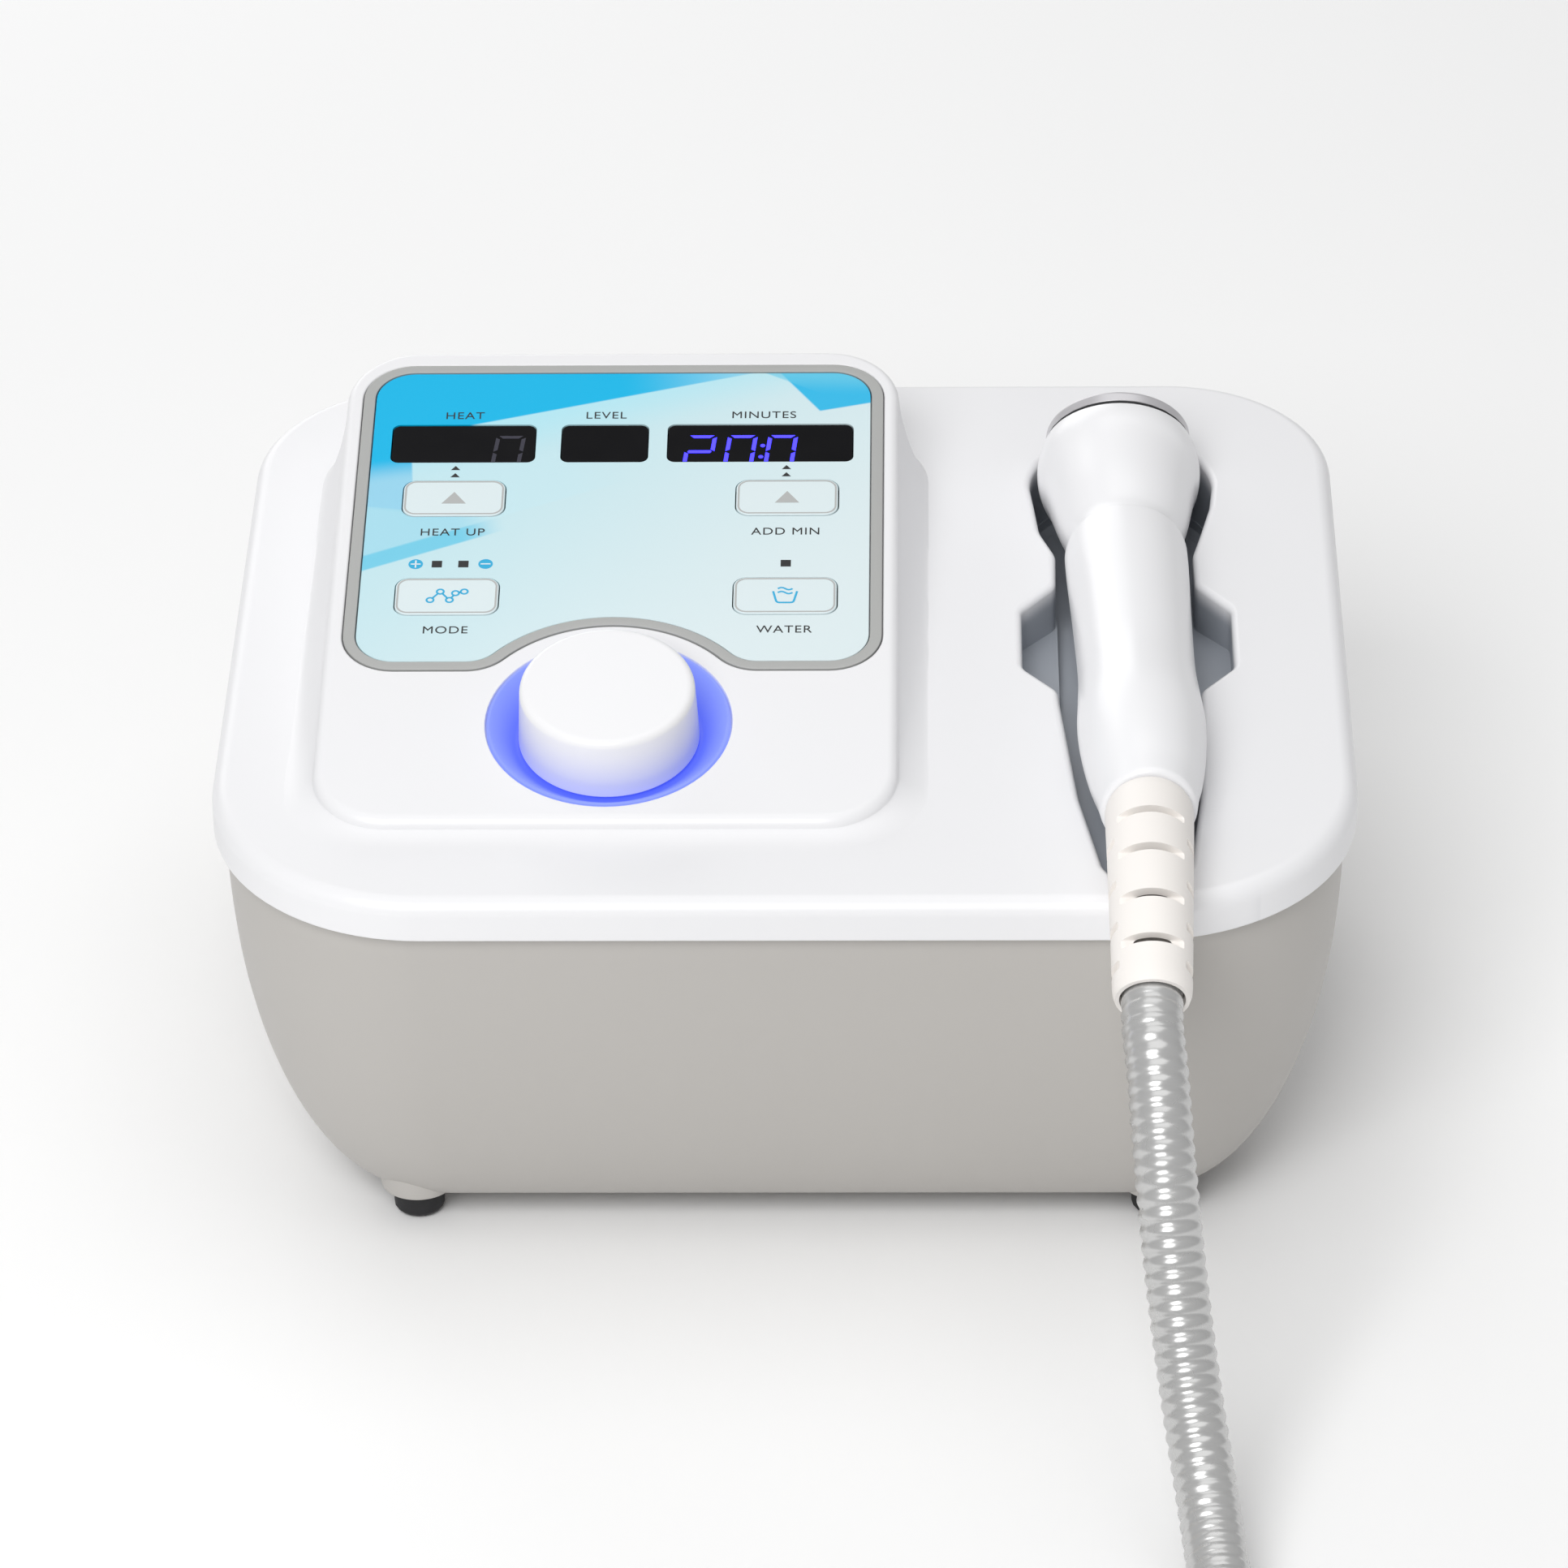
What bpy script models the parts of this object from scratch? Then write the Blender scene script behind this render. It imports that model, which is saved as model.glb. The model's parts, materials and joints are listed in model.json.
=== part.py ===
"""Tabletop cold-and-hot therapy unit with a corded handpiece.

The model stands on z = 0 with the case centred on x = y = 0 and its front towards -Y. Blender's unit is
the metre; the sizes below are written in millimetres and scaled by MM where a mesh is made.
"""

import math

import bmesh
import bpy
from mathutils import Matrix, Vector

MM = 0.001
CLEARANCE = 0.3  # gap that neighbouring pieces keep

# Case: a tapered tub under a sloping lid whose edge stands proud as a lip.
CASE_WIDTH = 336.0
CASE_DEPTH = 282.0
FRONT_RADIUS = 64.0
REAR_RADIUS = 50.0
WALL = 3.0
LID_TILT = math.radians(5.0)
LID_MIDDLE = 134.0  # height of the lip's middle line at y = 0
LIP_HALF = 6.5
LIP_PROFILE = ((0.8, -6.5), (0.0, -5.4), (0.0, 2.0), (0.8, 4.6), (2.4, 6.1), (4.5, 6.5))
TUB_BOTTOM = 9.0
TUB_INSET = 3.5
TUB_TAPER_X = 34.0
TUB_TAPER_Y = 28.0
TUB_CURVE = 2.35
TUB_ROUNDNESS = 1.46
TUB_BOTTOM_RADIUS = 31.0
TUB_STEPS = (0.0, 0.18, 0.36, 0.52, 0.66, 0.78, 0.87, 0.94, 0.98, 1.0)

# Feet stand under round bosses at the tub's corners.
FOOT_X = 110.3
FOOT_Y = 103.0
FOOT_RADIUS = 7.9
FOOT_HEIGHT = 8.4
BOSS_RADIUS = 11.2
BOSS_BOTTOM = FOOT_HEIGHT + CLEARANCE
BOSS_TOP = 30.0
SCREW_RADIUS = 1.5
SCREW_HOLE = 1.9

# Console: the raised wedge that carries the panel. Its own frame has x across, v up the slope, n outward.
CONSOLE_TILT = math.radians(12.8)
CONSOLE_HEIGHT = 160.2  # height of its plane at y = 0
CONSOLE_LEFT = -137.5
CONSOLE_RIGHT = 33.5
CONSOLE_FRONT = -107.0
CONSOLE_BACK = 102.5
CONSOLE_RADIUS = 22.0
CONSOLE_SKIN = 5.5

PANEL_LEFT = -132.5
PANEL_RIGHT = 28.9
PANEL_BOTTOM = -44.7
PANEL_TOP = 97.7
PANEL_RADIUS = 16.0
PANEL_RECESS = 2.5
PANEL_THICKNESS = 2.2
FRAME_WIDTH = 3.9
LEDGE_WIDTH = 8.0
WAVE_RADIUS = 42.4  # the panel's lower edge runs round the knob
WAVE_FILLET = 15.0

WINDOW_V = 59.8
WINDOW_HEIGHT = 18.1
WINDOWS = {  # name: (middle x, width, display width)
    "left": (-100.3, 44.5, 38.0),
    "middle": (-56.9, 27.0, 22.0),
    "right": (-9.1, 57.3, 50.4),
}
DISPLAY_HEIGHT = 16.0
BOARD_TOP = -12.0
BOARD_THICKNESS = 1.6

KEY_SIZE = (31.0, 16.4)
KEY_RADIUS = 4.0
KEY_TRAVEL = 0.4
KEYS = {"temperature": (-102.0, 33.8), "time": (-0.5, 33.8), "pulse": (-102.0, -11.5), "fill": (-0.5, -11.5)}
SWITCH_HEIGHT = 3.2

# Intensity knob, in the dished ring that lights up round it.
KNOB_X = -51.6
KNOB_V = -67.3
RING_RADIUS = 35.9
RING_FLANGE = 2.2
RING_BODY_RADIUS = 32.7
DISH_FLOOR = -6.6
DISH_BOTTOM = -8.6
KNOB_RADIUS = 26.7
KNOB_TOP_RADIUS = 25.8
KNOB_TOP = 14.5
KNOB_BASE = -5.7
SHAFT_RADIUS = 3.0
ENCODER_BOTTOM = -16.0

# Handpiece: it lies in a cradle on the right of the lid, its tail over the front lip.
HEAD = Vector((101.6, 80.0, 150.5))
TAIL = Vector((105.9, -113.0, 141.6))
HEAD_RADIUS = 25.3
NECK_RADIUS = 16.4
NECK_START = 44.0
NECK_END = 60.0
GRIP_PROFILE = (
    (48.3, 17.3), (49.4, 18.3), (52.0, 18.7), (62.0, 18.6), (90.0, 17.9), (118.0, 17.5), (134.0, 18.2),
    (147.0, 18.9), (160.0, 18.4), (174.0, 16.9), (185.0, 14.9), (192.7, 13.3),
)
GRIP_WALL = 1.9
PLATE_TILT = math.radians(24.5)
PLATE_CUT = 10.4  # distance from the head's centre to the plane where its shell ends
PLATE_RADIUS = 22.4
RELIEF_LENGTH = 76.0
RELIEF_DROOP = (math.radians(2.6), math.radians(25.0))
RELIEF_RADII = (12.9, 11.3)

CRADLE_X = 102.3
WELL_RADIUS = 28.2
WELL_FLOOR = 121.5
TROUGH_FLOOR = 123.0
NOTCH_FLOOR = 126.5
CRADLE_TOP = 172.0
TROUGH = (  # left x, right x, y
    (74.6, 130.0, 78.0), (76.4, 126.6, 55.0), (81.4, 123.4, 40.0), (81.4, 123.4, -38.0), (86.2, 121.6, -88.0),
    (92.4, 117.8, -122.0), (97.0, 114.0, -131.0),
)
LIP_CHANNEL = (97.0, 114.0, 125.6)  # left, right and floor of the dip in the front lip under the boot
NOTCH = ((31.7, 10.5), (31.7, -20.5), (20.5, -34.0), (20.5, 24.0))

# Pump: it lies along Y on the tub's floor, in front of the tank.
PUMP_X = 90.0
PUMP_Z = 31.5

# Rear: a flat land moulded on the tub holds the connector plate.
LAND_X = 118.0
LAND_Z = (37.0, 112.0)
LAND_Y = (108.0, 136.0)
LAND_FOOT = 26.0  # where its underside slopes back to
PLATE_FACE = 135.7
PLATE_THICKNESS = 2.0
VENT = (-74.0, 74.5, 31.0)  # x, z, radius
INLET = (-8.0, 73.0)
FILLER = (42.0, 79.0)
SOCKET = (88.0, 72.0)
FITTING_FACE = 136.0
ROCKER_Z = 94.5
ROCKER_REST = math.radians(10.0)

# Hose: a 17.6 mm corrugated sleeve. It hangs from the boot to the table and lies there in a coil of two
# stacked turns, with its connector on top.
HOSE_RADIUS = 8.8
HOSE_POINTS = 24
HOSE_ROUTE = (
    (106.0, -205.5, 112.5), (108.0, -226.0, 92.0), (111.0, -243.0, 66.0), (115.0, -262.0, 40.0),
    (119.5, -288.0, 19.5), (122.5, -320.0, 10.2), (124.0, -352.0, 8.9), (124.6, -382.0, 8.9),
)
COIL_CENTRE = (30.0, -447.0)
COIL_RADIUS = 95.0
COIL_TURNS = 2
CONNECTOR_RADIUS = 13.0
CONNECTOR_LENGTH = 62.0

PARTS = bpy.data.collections.new("therapy_unit")
CUTTERS = bpy.data.collections.new("therapy_unit_cutters")


# ---------------------------------------------------------------- scene and materials

def clear_scene():
    for obj in list(bpy.data.objects):
        bpy.data.objects.remove(obj, do_unlink=True)
    for collection in (PARTS, CUTTERS):
        bpy.context.scene.collection.children.link(collection)


def material(name, colour, roughness, metallic=0.0):
    made = bpy.data.materials.new(name)
    made.use_nodes = True
    shader = made.node_tree.nodes["Principled BSDF"]
    shader.inputs["Base Color"].default_value = (*colour, 1.0)
    shader.inputs["Roughness"].default_value = roughness
    shader.inputs["Metallic"].default_value = metallic
    made.diffuse_color = (*colour, 1.0)
    return made


MATERIALS = {
    "white_abs": material("white_abs", (0.86, 0.86, 0.87), 0.3),
    "grey_abs": material("grey_abs", (0.60, 0.57, 0.54), 0.4),
    "silver_trim": material("silver_trim", (0.40, 0.40, 0.39), 0.35, 0.4),
    "overlay": material("overlay", (0.62, 0.84, 0.89), 0.3),
    "window": material("window", (0.004, 0.004, 0.005), 0.12),
    "key": material("key", (0.72, 0.85, 0.88), 0.3),
    "blue_light": material("blue_light", (0.09, 0.13, 0.95), 0.3),
    "rubber": material("rubber", (0.01, 0.01, 0.012), 0.7),
    "steel": material("steel", (0.62, 0.62, 0.63), 0.3, 1.0),
    "aluminium": material("aluminium", (0.66, 0.67, 0.69), 0.35, 1.0),
    "relief_white": material("relief_white", (0.90, 0.86, 0.81), 0.5),
    "hose": material("hose", (0.42, 0.42, 0.41), 0.35, 0.7),
    "black_plastic": material("black_plastic", (0.015, 0.015, 0.017), 0.45),
    "circuit_board": material("circuit_board", (0.02, 0.13, 0.06), 0.45),
    "clear_tank": material("clear_tank", (0.70, 0.80, 0.86), 0.2),
    "tube": material("tube", (0.75, 0.78, 0.78), 0.3),
}


# ---------------------------------------------------------------- shapes

def finish(name, bm, look, matrix=None, helper=False):
    """Makes the named object from a bmesh in millimetres, placed by the matrix."""
    bmesh.ops.scale(bm, vec=(MM, MM, MM), verts=bm.verts)
    mesh = bpy.data.meshes.new(name)
    bm.to_mesh(mesh)
    bm.free()
    obj = bpy.data.objects.new(name, mesh)
    if matrix is not None:
        placed = matrix.copy()
        placed.translation = placed.translation * MM
        obj.matrix_world = placed
    if helper:
        obj.hide_render = True
        obj.display_type = "WIRE"
        CUTTERS.objects.link(obj)
    else:
        mesh.materials.append(MATERIALS[look])
        PARTS.objects.link(obj)
    return obj


def cutter(name, bm, matrix=None):
    return finish(name, bm, None, matrix, helper=True)


def boolean(obj, operation, others):
    for other in others:
        modifier = obj.modifiers.new(f"{operation.lower()}_{other.name}", "BOOLEAN")
        modifier.operation = operation
        modifier.object = other
    return obj


def cut(obj, *others):
    return boolean(obj, "DIFFERENCE", others)


def join(obj, *others):
    return boolean(obj, "UNION", others)


def bevel(obj, width, segments=2):
    modifier = obj.modifiers.new("rounded_edges", "BEVEL")
    modifier.width = width * MM
    modifier.segments = segments
    modifier.limit_method = "ANGLE"
    return obj


def smooth(obj, angle=35.0):
    obj.data.shade_smooth()
    obj.data.set_sharp_from_angle(angle=math.radians(angle))
    return obj


def arc(x, y, radius, start, end, steps):
    """Points of a circle from one angle to another, in degrees."""
    angles = [math.radians(start + (end - start) * k / steps) for k in range(steps + 1)]
    return [(x + radius * math.cos(a), y + radius * math.sin(a)) for a in angles]


def rounded_rectangle(left, right, front, back, radius, steps=5, back_radius=None):
    rear = radius if back_radius is None else back_radius
    return (
        arc(right - rear, back - rear, rear, 0, 90, steps)
        + arc(left + rear, back - rear, rear, 90, 180, steps)
        + arc(left + radius, front + radius, radius, 180, 270, steps)
        + arc(right - radius, front + radius, radius, 270, 360, steps)
    )


def loft(rings, open_top=False):
    """Skins rings of equal length, listed from top to bottom and counter-clockwise seen from above."""
    bm = bmesh.new()
    made = [[bm.verts.new(point) for point in ring] for ring in rings]
    for upper, lower in zip(made, made[1:]):
        for k in range(len(upper)):
            after = (k + 1) % len(upper)
            bm.faces.new((upper[k], lower[k], lower[after], upper[after]))
    bm.faces.new(list(reversed(made[-1])))
    if not open_top:
        bm.faces.new(made[0])
    return bm


def prism(outline, low, high):
    """Extrudes a counter-clockwise outline between two heights, each a number or a function of x and y."""
    def level(height, x, y):
        return height(x, y) if callable(height) else height
    return loft([[(x, y, level(height, x, y)) for x, y in outline] for height in (high, low)])


def block(x, y, z):
    bm = bmesh.new()
    bmesh.ops.create_cube(bm, size=1.0)
    bmesh.ops.scale(bm, vec=(x[1] - x[0], y[1] - y[0], z[1] - z[0]), verts=bm.verts)
    bmesh.ops.translate(bm, vec=(sum(x) / 2, sum(y) / 2, sum(z) / 2), verts=bm.verts)
    return bm


def rod(radius, low, high, x=0.0, y=0.0, segments=24):
    bm = bmesh.new()
    bmesh.ops.create_cone(bm, cap_ends=True, segments=segments, radius1=radius, radius2=radius, depth=high - low)
    bmesh.ops.translate(bm, vec=(x, y, (low + high) / 2), verts=bm.verts)
    return bm


def turned(name, profile, look, matrix=None, steps=28, closed=True, helper=False):
    """Turns a profile of (radius, height) about Z. It runs down the outer side, from top to bottom."""
    bm = bmesh.new()
    points = [bm.verts.new((radius, 0.0, height)) for radius, height in profile]
    for first, second in zip(points, points[1:]):
        bm.edges.new((first, second))
    if closed:
        bm.edges.new((points[-1], points[0]))
    obj = finish(name, bm, look, matrix, helper)
    screw = obj.modifiers.new("turned", "SCREW")
    screw.steps = screw.render_steps = steps
    screw.use_merge_vertices = True
    screw.merge_threshold = 0.00005
    screw.use_smooth_shade = True
    return obj


def tube(name, points, radius, look, sides=2, radii=None):
    """A round bar along the points, closed at both ends."""
    curve = bpy.data.curves.new(name, "CURVE")
    curve.dimensions = "3D"
    curve.bevel_depth = radius * MM
    curve.bevel_resolution = sides
    curve.use_fill_caps = True
    spline = curve.splines.new("POLY")
    spline.points.add(len(points) - 1)
    for k, point in enumerate(points):
        spline.points[k].co = (*(Vector(point) * MM), 1.0)
        spline.points[k].radius = radii[k] if radii else 1.0
    curve.materials.append(MATERIALS[look])
    obj = bpy.data.objects.new(name, curve)
    PARTS.objects.link(obj)
    return obj


def smooth_path(route, count):
    """Evenly spaced points on the Catmull-Rom curve through the route."""
    knots = [Vector(point) for point in route]
    knots = [2 * knots[0] - knots[1]] + knots + [2 * knots[-1] - knots[-2]]
    fine = []
    for a, b, c, d in zip(knots, knots[1:], knots[2:], knots[3:]):
        for k in range(24):
            t = k / 24
            fine.append(0.5 * ((2 * b) + (c - a) * t + (2 * a - 5 * b + 4 * c - d) * t * t
                               + (3 * b - a - 3 * c + d) * t ** 3))
    fine.append(knots[-2])
    travelled = [0.0]
    for first, second in zip(fine, fine[1:]):
        travelled.append(travelled[-1] + (second - first).length)
    points, k = [], 0
    for n in range(count):
        wanted = travelled[-1] * n / (count - 1)
        while k < len(fine) - 2 and travelled[k + 1] < wanted:
            k += 1
        share = (wanted - travelled[k]) / (travelled[k + 1] - travelled[k])
        points.append(fine[k].lerp(fine[k + 1], min(1.0, share)))
    return points


# ---------------------------------------------------------------- frames of reference

def lid_middle(y):
    return LID_MIDDLE + y * math.tan(LID_TILT)


def lid_top(y):
    return lid_middle(y) + LIP_HALF


def console_plane(y):
    return CONSOLE_HEIGHT + y * math.tan(CONSOLE_TILT)


CONSOLE = Matrix.Translation((0, 0, CONSOLE_HEIGHT)) @ Matrix.Rotation(CONSOLE_TILT, 4, "X")
KNOB = CONSOLE @ Matrix.Translation((KNOB_X, KNOB_V, 0))


def looking_back(x, z, y=0.0):
    """Frame on the rear plate: its Z points out of the rear (+Y), its Y points down."""
    return Matrix.Translation((x, y, z)) @ Matrix.Rotation(math.radians(-90), 4, "X")


def handpiece_frame():
    """Origin at the head's centre, Z along the handle towards its tail, Y roughly up."""
    z = (TAIL - HEAD).normalized()
    x = Vector((0, 0, 1)).cross(z).normalized()
    y = z.cross(x)
    return Matrix.Translation(HEAD) @ Matrix((x, y, z)).transposed().to_4x4()


ALONG_X = Matrix.Rotation(math.pi / 2, 4, "Z") @ Matrix.Rotation(math.pi / 2, 4, "X")  # outlines in (y, z)
HANDPIECE = handpiece_frame()
PLATE = Matrix.Translation(HEAD) @ Matrix.Rotation(PLATE_TILT - math.pi / 2, 4, "X")


# ---------------------------------------------------------------- case

def case_outline(inset_x, inset_y, shrink, front=None, rear=None):
    half_x = CASE_WIDTH / 2 - inset_x
    half_y = CASE_DEPTH / 2 - inset_y
    front = FRONT_RADIUS - shrink if front is None else front
    rear = REAR_RADIUS - shrink if rear is None else rear
    return rounded_rectangle(-half_x, half_x, -half_y, half_y, front, 8, rear)


def tub_ring(step):
    """One level of the tub, 0 at its rim and 1 at its bottom."""
    taper = 1 - (1 - step ** TUB_CURVE) ** (1 / TUB_ROUNDNESS)
    front = (1 - taper) * (FRONT_RADIUS - TUB_INSET) + taper * TUB_BOTTOM_RADIUS
    rear = (1 - taper) * (REAR_RADIUS - TUB_INSET) + taper * TUB_BOTTOM_RADIUS
    outline = case_outline(
        TUB_INSET + TUB_TAPER_X * taper, TUB_INSET + TUB_TAPER_Y * taper, 0.0, front, rear
    )
    return [(x, y, (1 - step) * (lid_middle(y) - 0.8) + step * TUB_BOTTOM) for x, y in outline]


def foot_places():
    for side, x in (("left", -FOOT_X), ("right", FOOT_X)):
        for end, y in (("front", -FOOT_Y), ("rear", FOOT_Y)):
            yield f"{end}_{side}", x, y


def build_tub():
    tub = finish("base_tub", loft([tub_ring(step) for step in TUB_STEPS], open_top=True), "grey_abs")
    walls = tub.modifiers.new("walls", "SOLIDIFY")
    walls.thickness = WALL * MM
    walls.offset = -1.0
    walls.use_even_offset = True
    for place, x, y in foot_places():
        join(tub, cutter(f"boss_{place}", rod(BOSS_RADIUS, BOSS_BOTTOM, BOSS_TOP, x, y)))
    inner, outer = LAND_Y
    side = [(inner, LAND_FOOT), (outer, LAND_Z[0]), (outer, LAND_Z[1]), (inner, LAND_Z[1])]
    join(tub, cutter("rear_land", prism(side, -LAND_X, LAND_X), ALONG_X))
    opening = cutter(
        "rear_opening", block((-LAND_X + 7, LAND_X - 7), (LAND_Y[0] - 36, LAND_Y[1] + 9), (LAND_Z[0] + 7, LAND_Z[1] - 7))
    )
    recess = cutter(
        "rear_recess",
        block((-LAND_X + 2.7, LAND_X - 2.7), (PLATE_FACE - 2.3, LAND_Y[1] + 9), (LAND_Z[0] + 2.7, LAND_Z[1] - 2.7)),
    )
    cut(tub, opening, recess)
    for place, x, y in foot_places():
        cut(tub, cutter(f"boss_hole_{place}", rod(SCREW_HOLE, 0.0, 24.0, x, y, 12)))
    return smooth(tub)


def build_feet():
    for place, x, y in foot_places():
        at = Matrix.Translation((x, y, 0))
        profile = [(2.0, FOOT_HEIGHT), (FOOT_RADIUS - 0.2, FOOT_HEIGHT), (FOOT_RADIUS, FOOT_HEIGHT - 1.0),
                   (FOOT_RADIUS - 0.4, 1.6), (FOOT_RADIUS - 1.3, 0.4), (FOOT_RADIUS - 2.6, 0.0),
                   (4.0, 0.0), (4.0, 3.6), (2.0, 3.6)]
        turned(f"foot_{place}", profile, "rubber", at, 20)
        screw = [(0.0, 20.0), (SCREW_RADIUS, 19.0), (SCREW_RADIUS, 3.3), (3.2, 3.3), (3.2, 1.7), (2.4, 1.0),
                 (1.2, 1.0), (1.2, 2.0), (0.0, 2.0)]
        turned(f"foot_screw_{place}", screw, "steel", at, 12, closed=False)


def console_outline(grow):
    return rounded_rectangle(CONSOLE_LEFT - grow, CONSOLE_RIGHT + grow, CONSOLE_FRONT - grow,
                             CONSOLE_BACK + grow, max(4.0, CONSOLE_RADIUS + grow), 6)


def console_ring(grow, share, drop):
    """A level of the console wedge: share 0 lies on the lid, share 1 on the console's plane."""
    return [
        (x, y, (1 - share) * lid_top(y) + share * console_plane(y) - drop) for x, y in console_outline(grow)
    ]


def cradle_shapes(name, grow, top=lambda x, y: CRADLE_TOP):
    """The head's well, the handle's trough and the finger notches, as helpers up to a height given by top."""
    circle = arc(CRADLE_X, HEAD.y, WELL_RADIUS + grow, 0, 350, 35)
    well = cutter(f"{name}_well", prism(circle, WELL_FLOOR - grow, top))
    outline = [(left - grow, y) for left, right, y in TROUGH]
    outline += [(right + grow, y) for left, right, y in reversed(TROUGH)]
    trough = cutter(f"{name}_trough", prism(outline, TROUGH_FLOOR - grow, lambda x, y: top(x, y) - 0.4))
    (wide, rear), (_, front), (narrow, front_end), (_, rear_end) = NOTCH
    side = [(narrow, rear_end + grow), (wide + grow, rear + grow), (wide + grow, front - grow), (narrow, front_end - grow)]
    outline = [(CRADLE_X - x, y) for x, y in side] + [(CRADLE_X + x, y) for x, y in reversed(side)]
    notch = cutter(f"{name}_notch", prism(outline, NOTCH_FLOOR - grow, lambda x, y: top(x, y) - 0.8))
    return well, trough, notch


def lip_channel(name, grow):
    """The dip in the front lip under the boot."""
    left, right, floor = LIP_CHANNEL
    channel = block((left - grow, right + grow), (-150.0, -124.0 + grow), (floor - grow, CRADLE_TOP - 2))
    return cutter(name, channel)


def build_top():
    rings = [
        [(x, y, lid_middle(y) + height) for x, y in case_outline(inset, inset, inset)]
        for inset, height in reversed(LIP_PROFILE)
    ]
    top = finish("top_shell", loft(rings), "white_abs")
    wedge = loft([
        console_ring(-2.0, 1.0, 0.0), console_ring(0.0, 1.0, 1.2), console_ring(1.2, 0.9, 2.4),
        console_ring(5.0, 0.35, 1.5), console_ring(9.0, 0.0, 0.0), console_ring(9.0, 0.0, 1.6),
    ])
    join(top, cutter("console_wedge", wedge))
    # The cradle is deeper than the lid, so its walls and floors hang below it as a tray.
    join(top, *cradle_shapes("cradle_tray", WALL + 0.02, lambda x, y: lid_middle(y) + 1.5))

    void_rings = ((9.0, 3.3), (5.2, 2.4), (WALL + 0.02, 0.0), (WALL + 0.02, -9.0))
    void = cutter("lid_void", loft([
        [(x, y, lid_middle(y) + height) for x, y in case_outline(inset, inset, inset)]
        for inset, height in void_rings
    ]))
    join(void, cutter("console_void", loft([
        console_ring(-4.5, 1.0, CONSOLE_SKIN), console_ring(-2.0, 0.9, 6.0), console_ring(1.5, 0.3, 5.0),
        console_ring(2.5, 0.0, 5.0),
    ])))
    cut(void, *cradle_shapes("cradle_wall", WALL), lip_channel("lip_channel_wall", WALL))
    cut(top, void, *cradle_shapes("cradle", 0.0), lip_channel("lip_channel", 0.0))
    cut(
        top,
        cutter("panel_recess", prism(panel_outline(0.0), -PANEL_RECESS, 12.0), CONSOLE),
        cutter("panel_opening", prism(panel_outline(LEDGE_WIDTH), -CONSOLE_SKIN - 8, 11.0), CONSOLE),
        cutter("ring_seat", rod(RING_RADIUS + 0.4, -RING_FLANGE - CLEARANCE, 12.0, segments=40), KNOB),
        cutter("ring_hole", rod(RING_BODY_RADIUS + 0.4, -CONSOLE_SKIN - 8, 11.0, segments=40), KNOB),
    )
    return smooth(top)


# ---------------------------------------------------------------- panel, keys and displays

def panel_outline(inset):
    """The panel's edge in the console's frame: a rounded rectangle whose lower edge arches round the knob."""
    left, right = PANEL_LEFT + inset, PANEL_RIGHT - inset
    bottom, top = PANEL_BOTTOM + inset, PANEL_TOP - inset
    radius = PANEL_RADIUS - inset
    wave = WAVE_RADIUS + inset
    fillet = WAVE_FILLET - inset
    rise = bottom + fillet - KNOB_V
    reach = math.sqrt((wave + fillet) ** 2 - rise ** 2)
    lean = math.degrees(math.atan2(rise, reach))
    return (
        arc(right - radius, top - radius, radius, 0, 90, 5)
        + arc(left + radius, top - radius, radius, 90, 180, 5)
        + arc(left + radius, bottom + radius, radius, 180, 270, 5)
        + arc(KNOB_X - reach, bottom + fillet, fillet, 270, 360 - lean, 4)
        + arc(KNOB_X, KNOB_V, wave, 180 - lean, lean, 12)[1:-1]
        + arc(KNOB_X + reach, bottom + fillet, fillet, 180 + lean, 270, 4)
        + arc(right - radius, bottom + radius, radius, 270, 360, 5)
    )


def rounded_plate(x, v, width, height, radius, steps=3):
    return rounded_rectangle(x - width / 2, x + width / 2, v - height / 2, v + height / 2, radius, steps)


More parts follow.
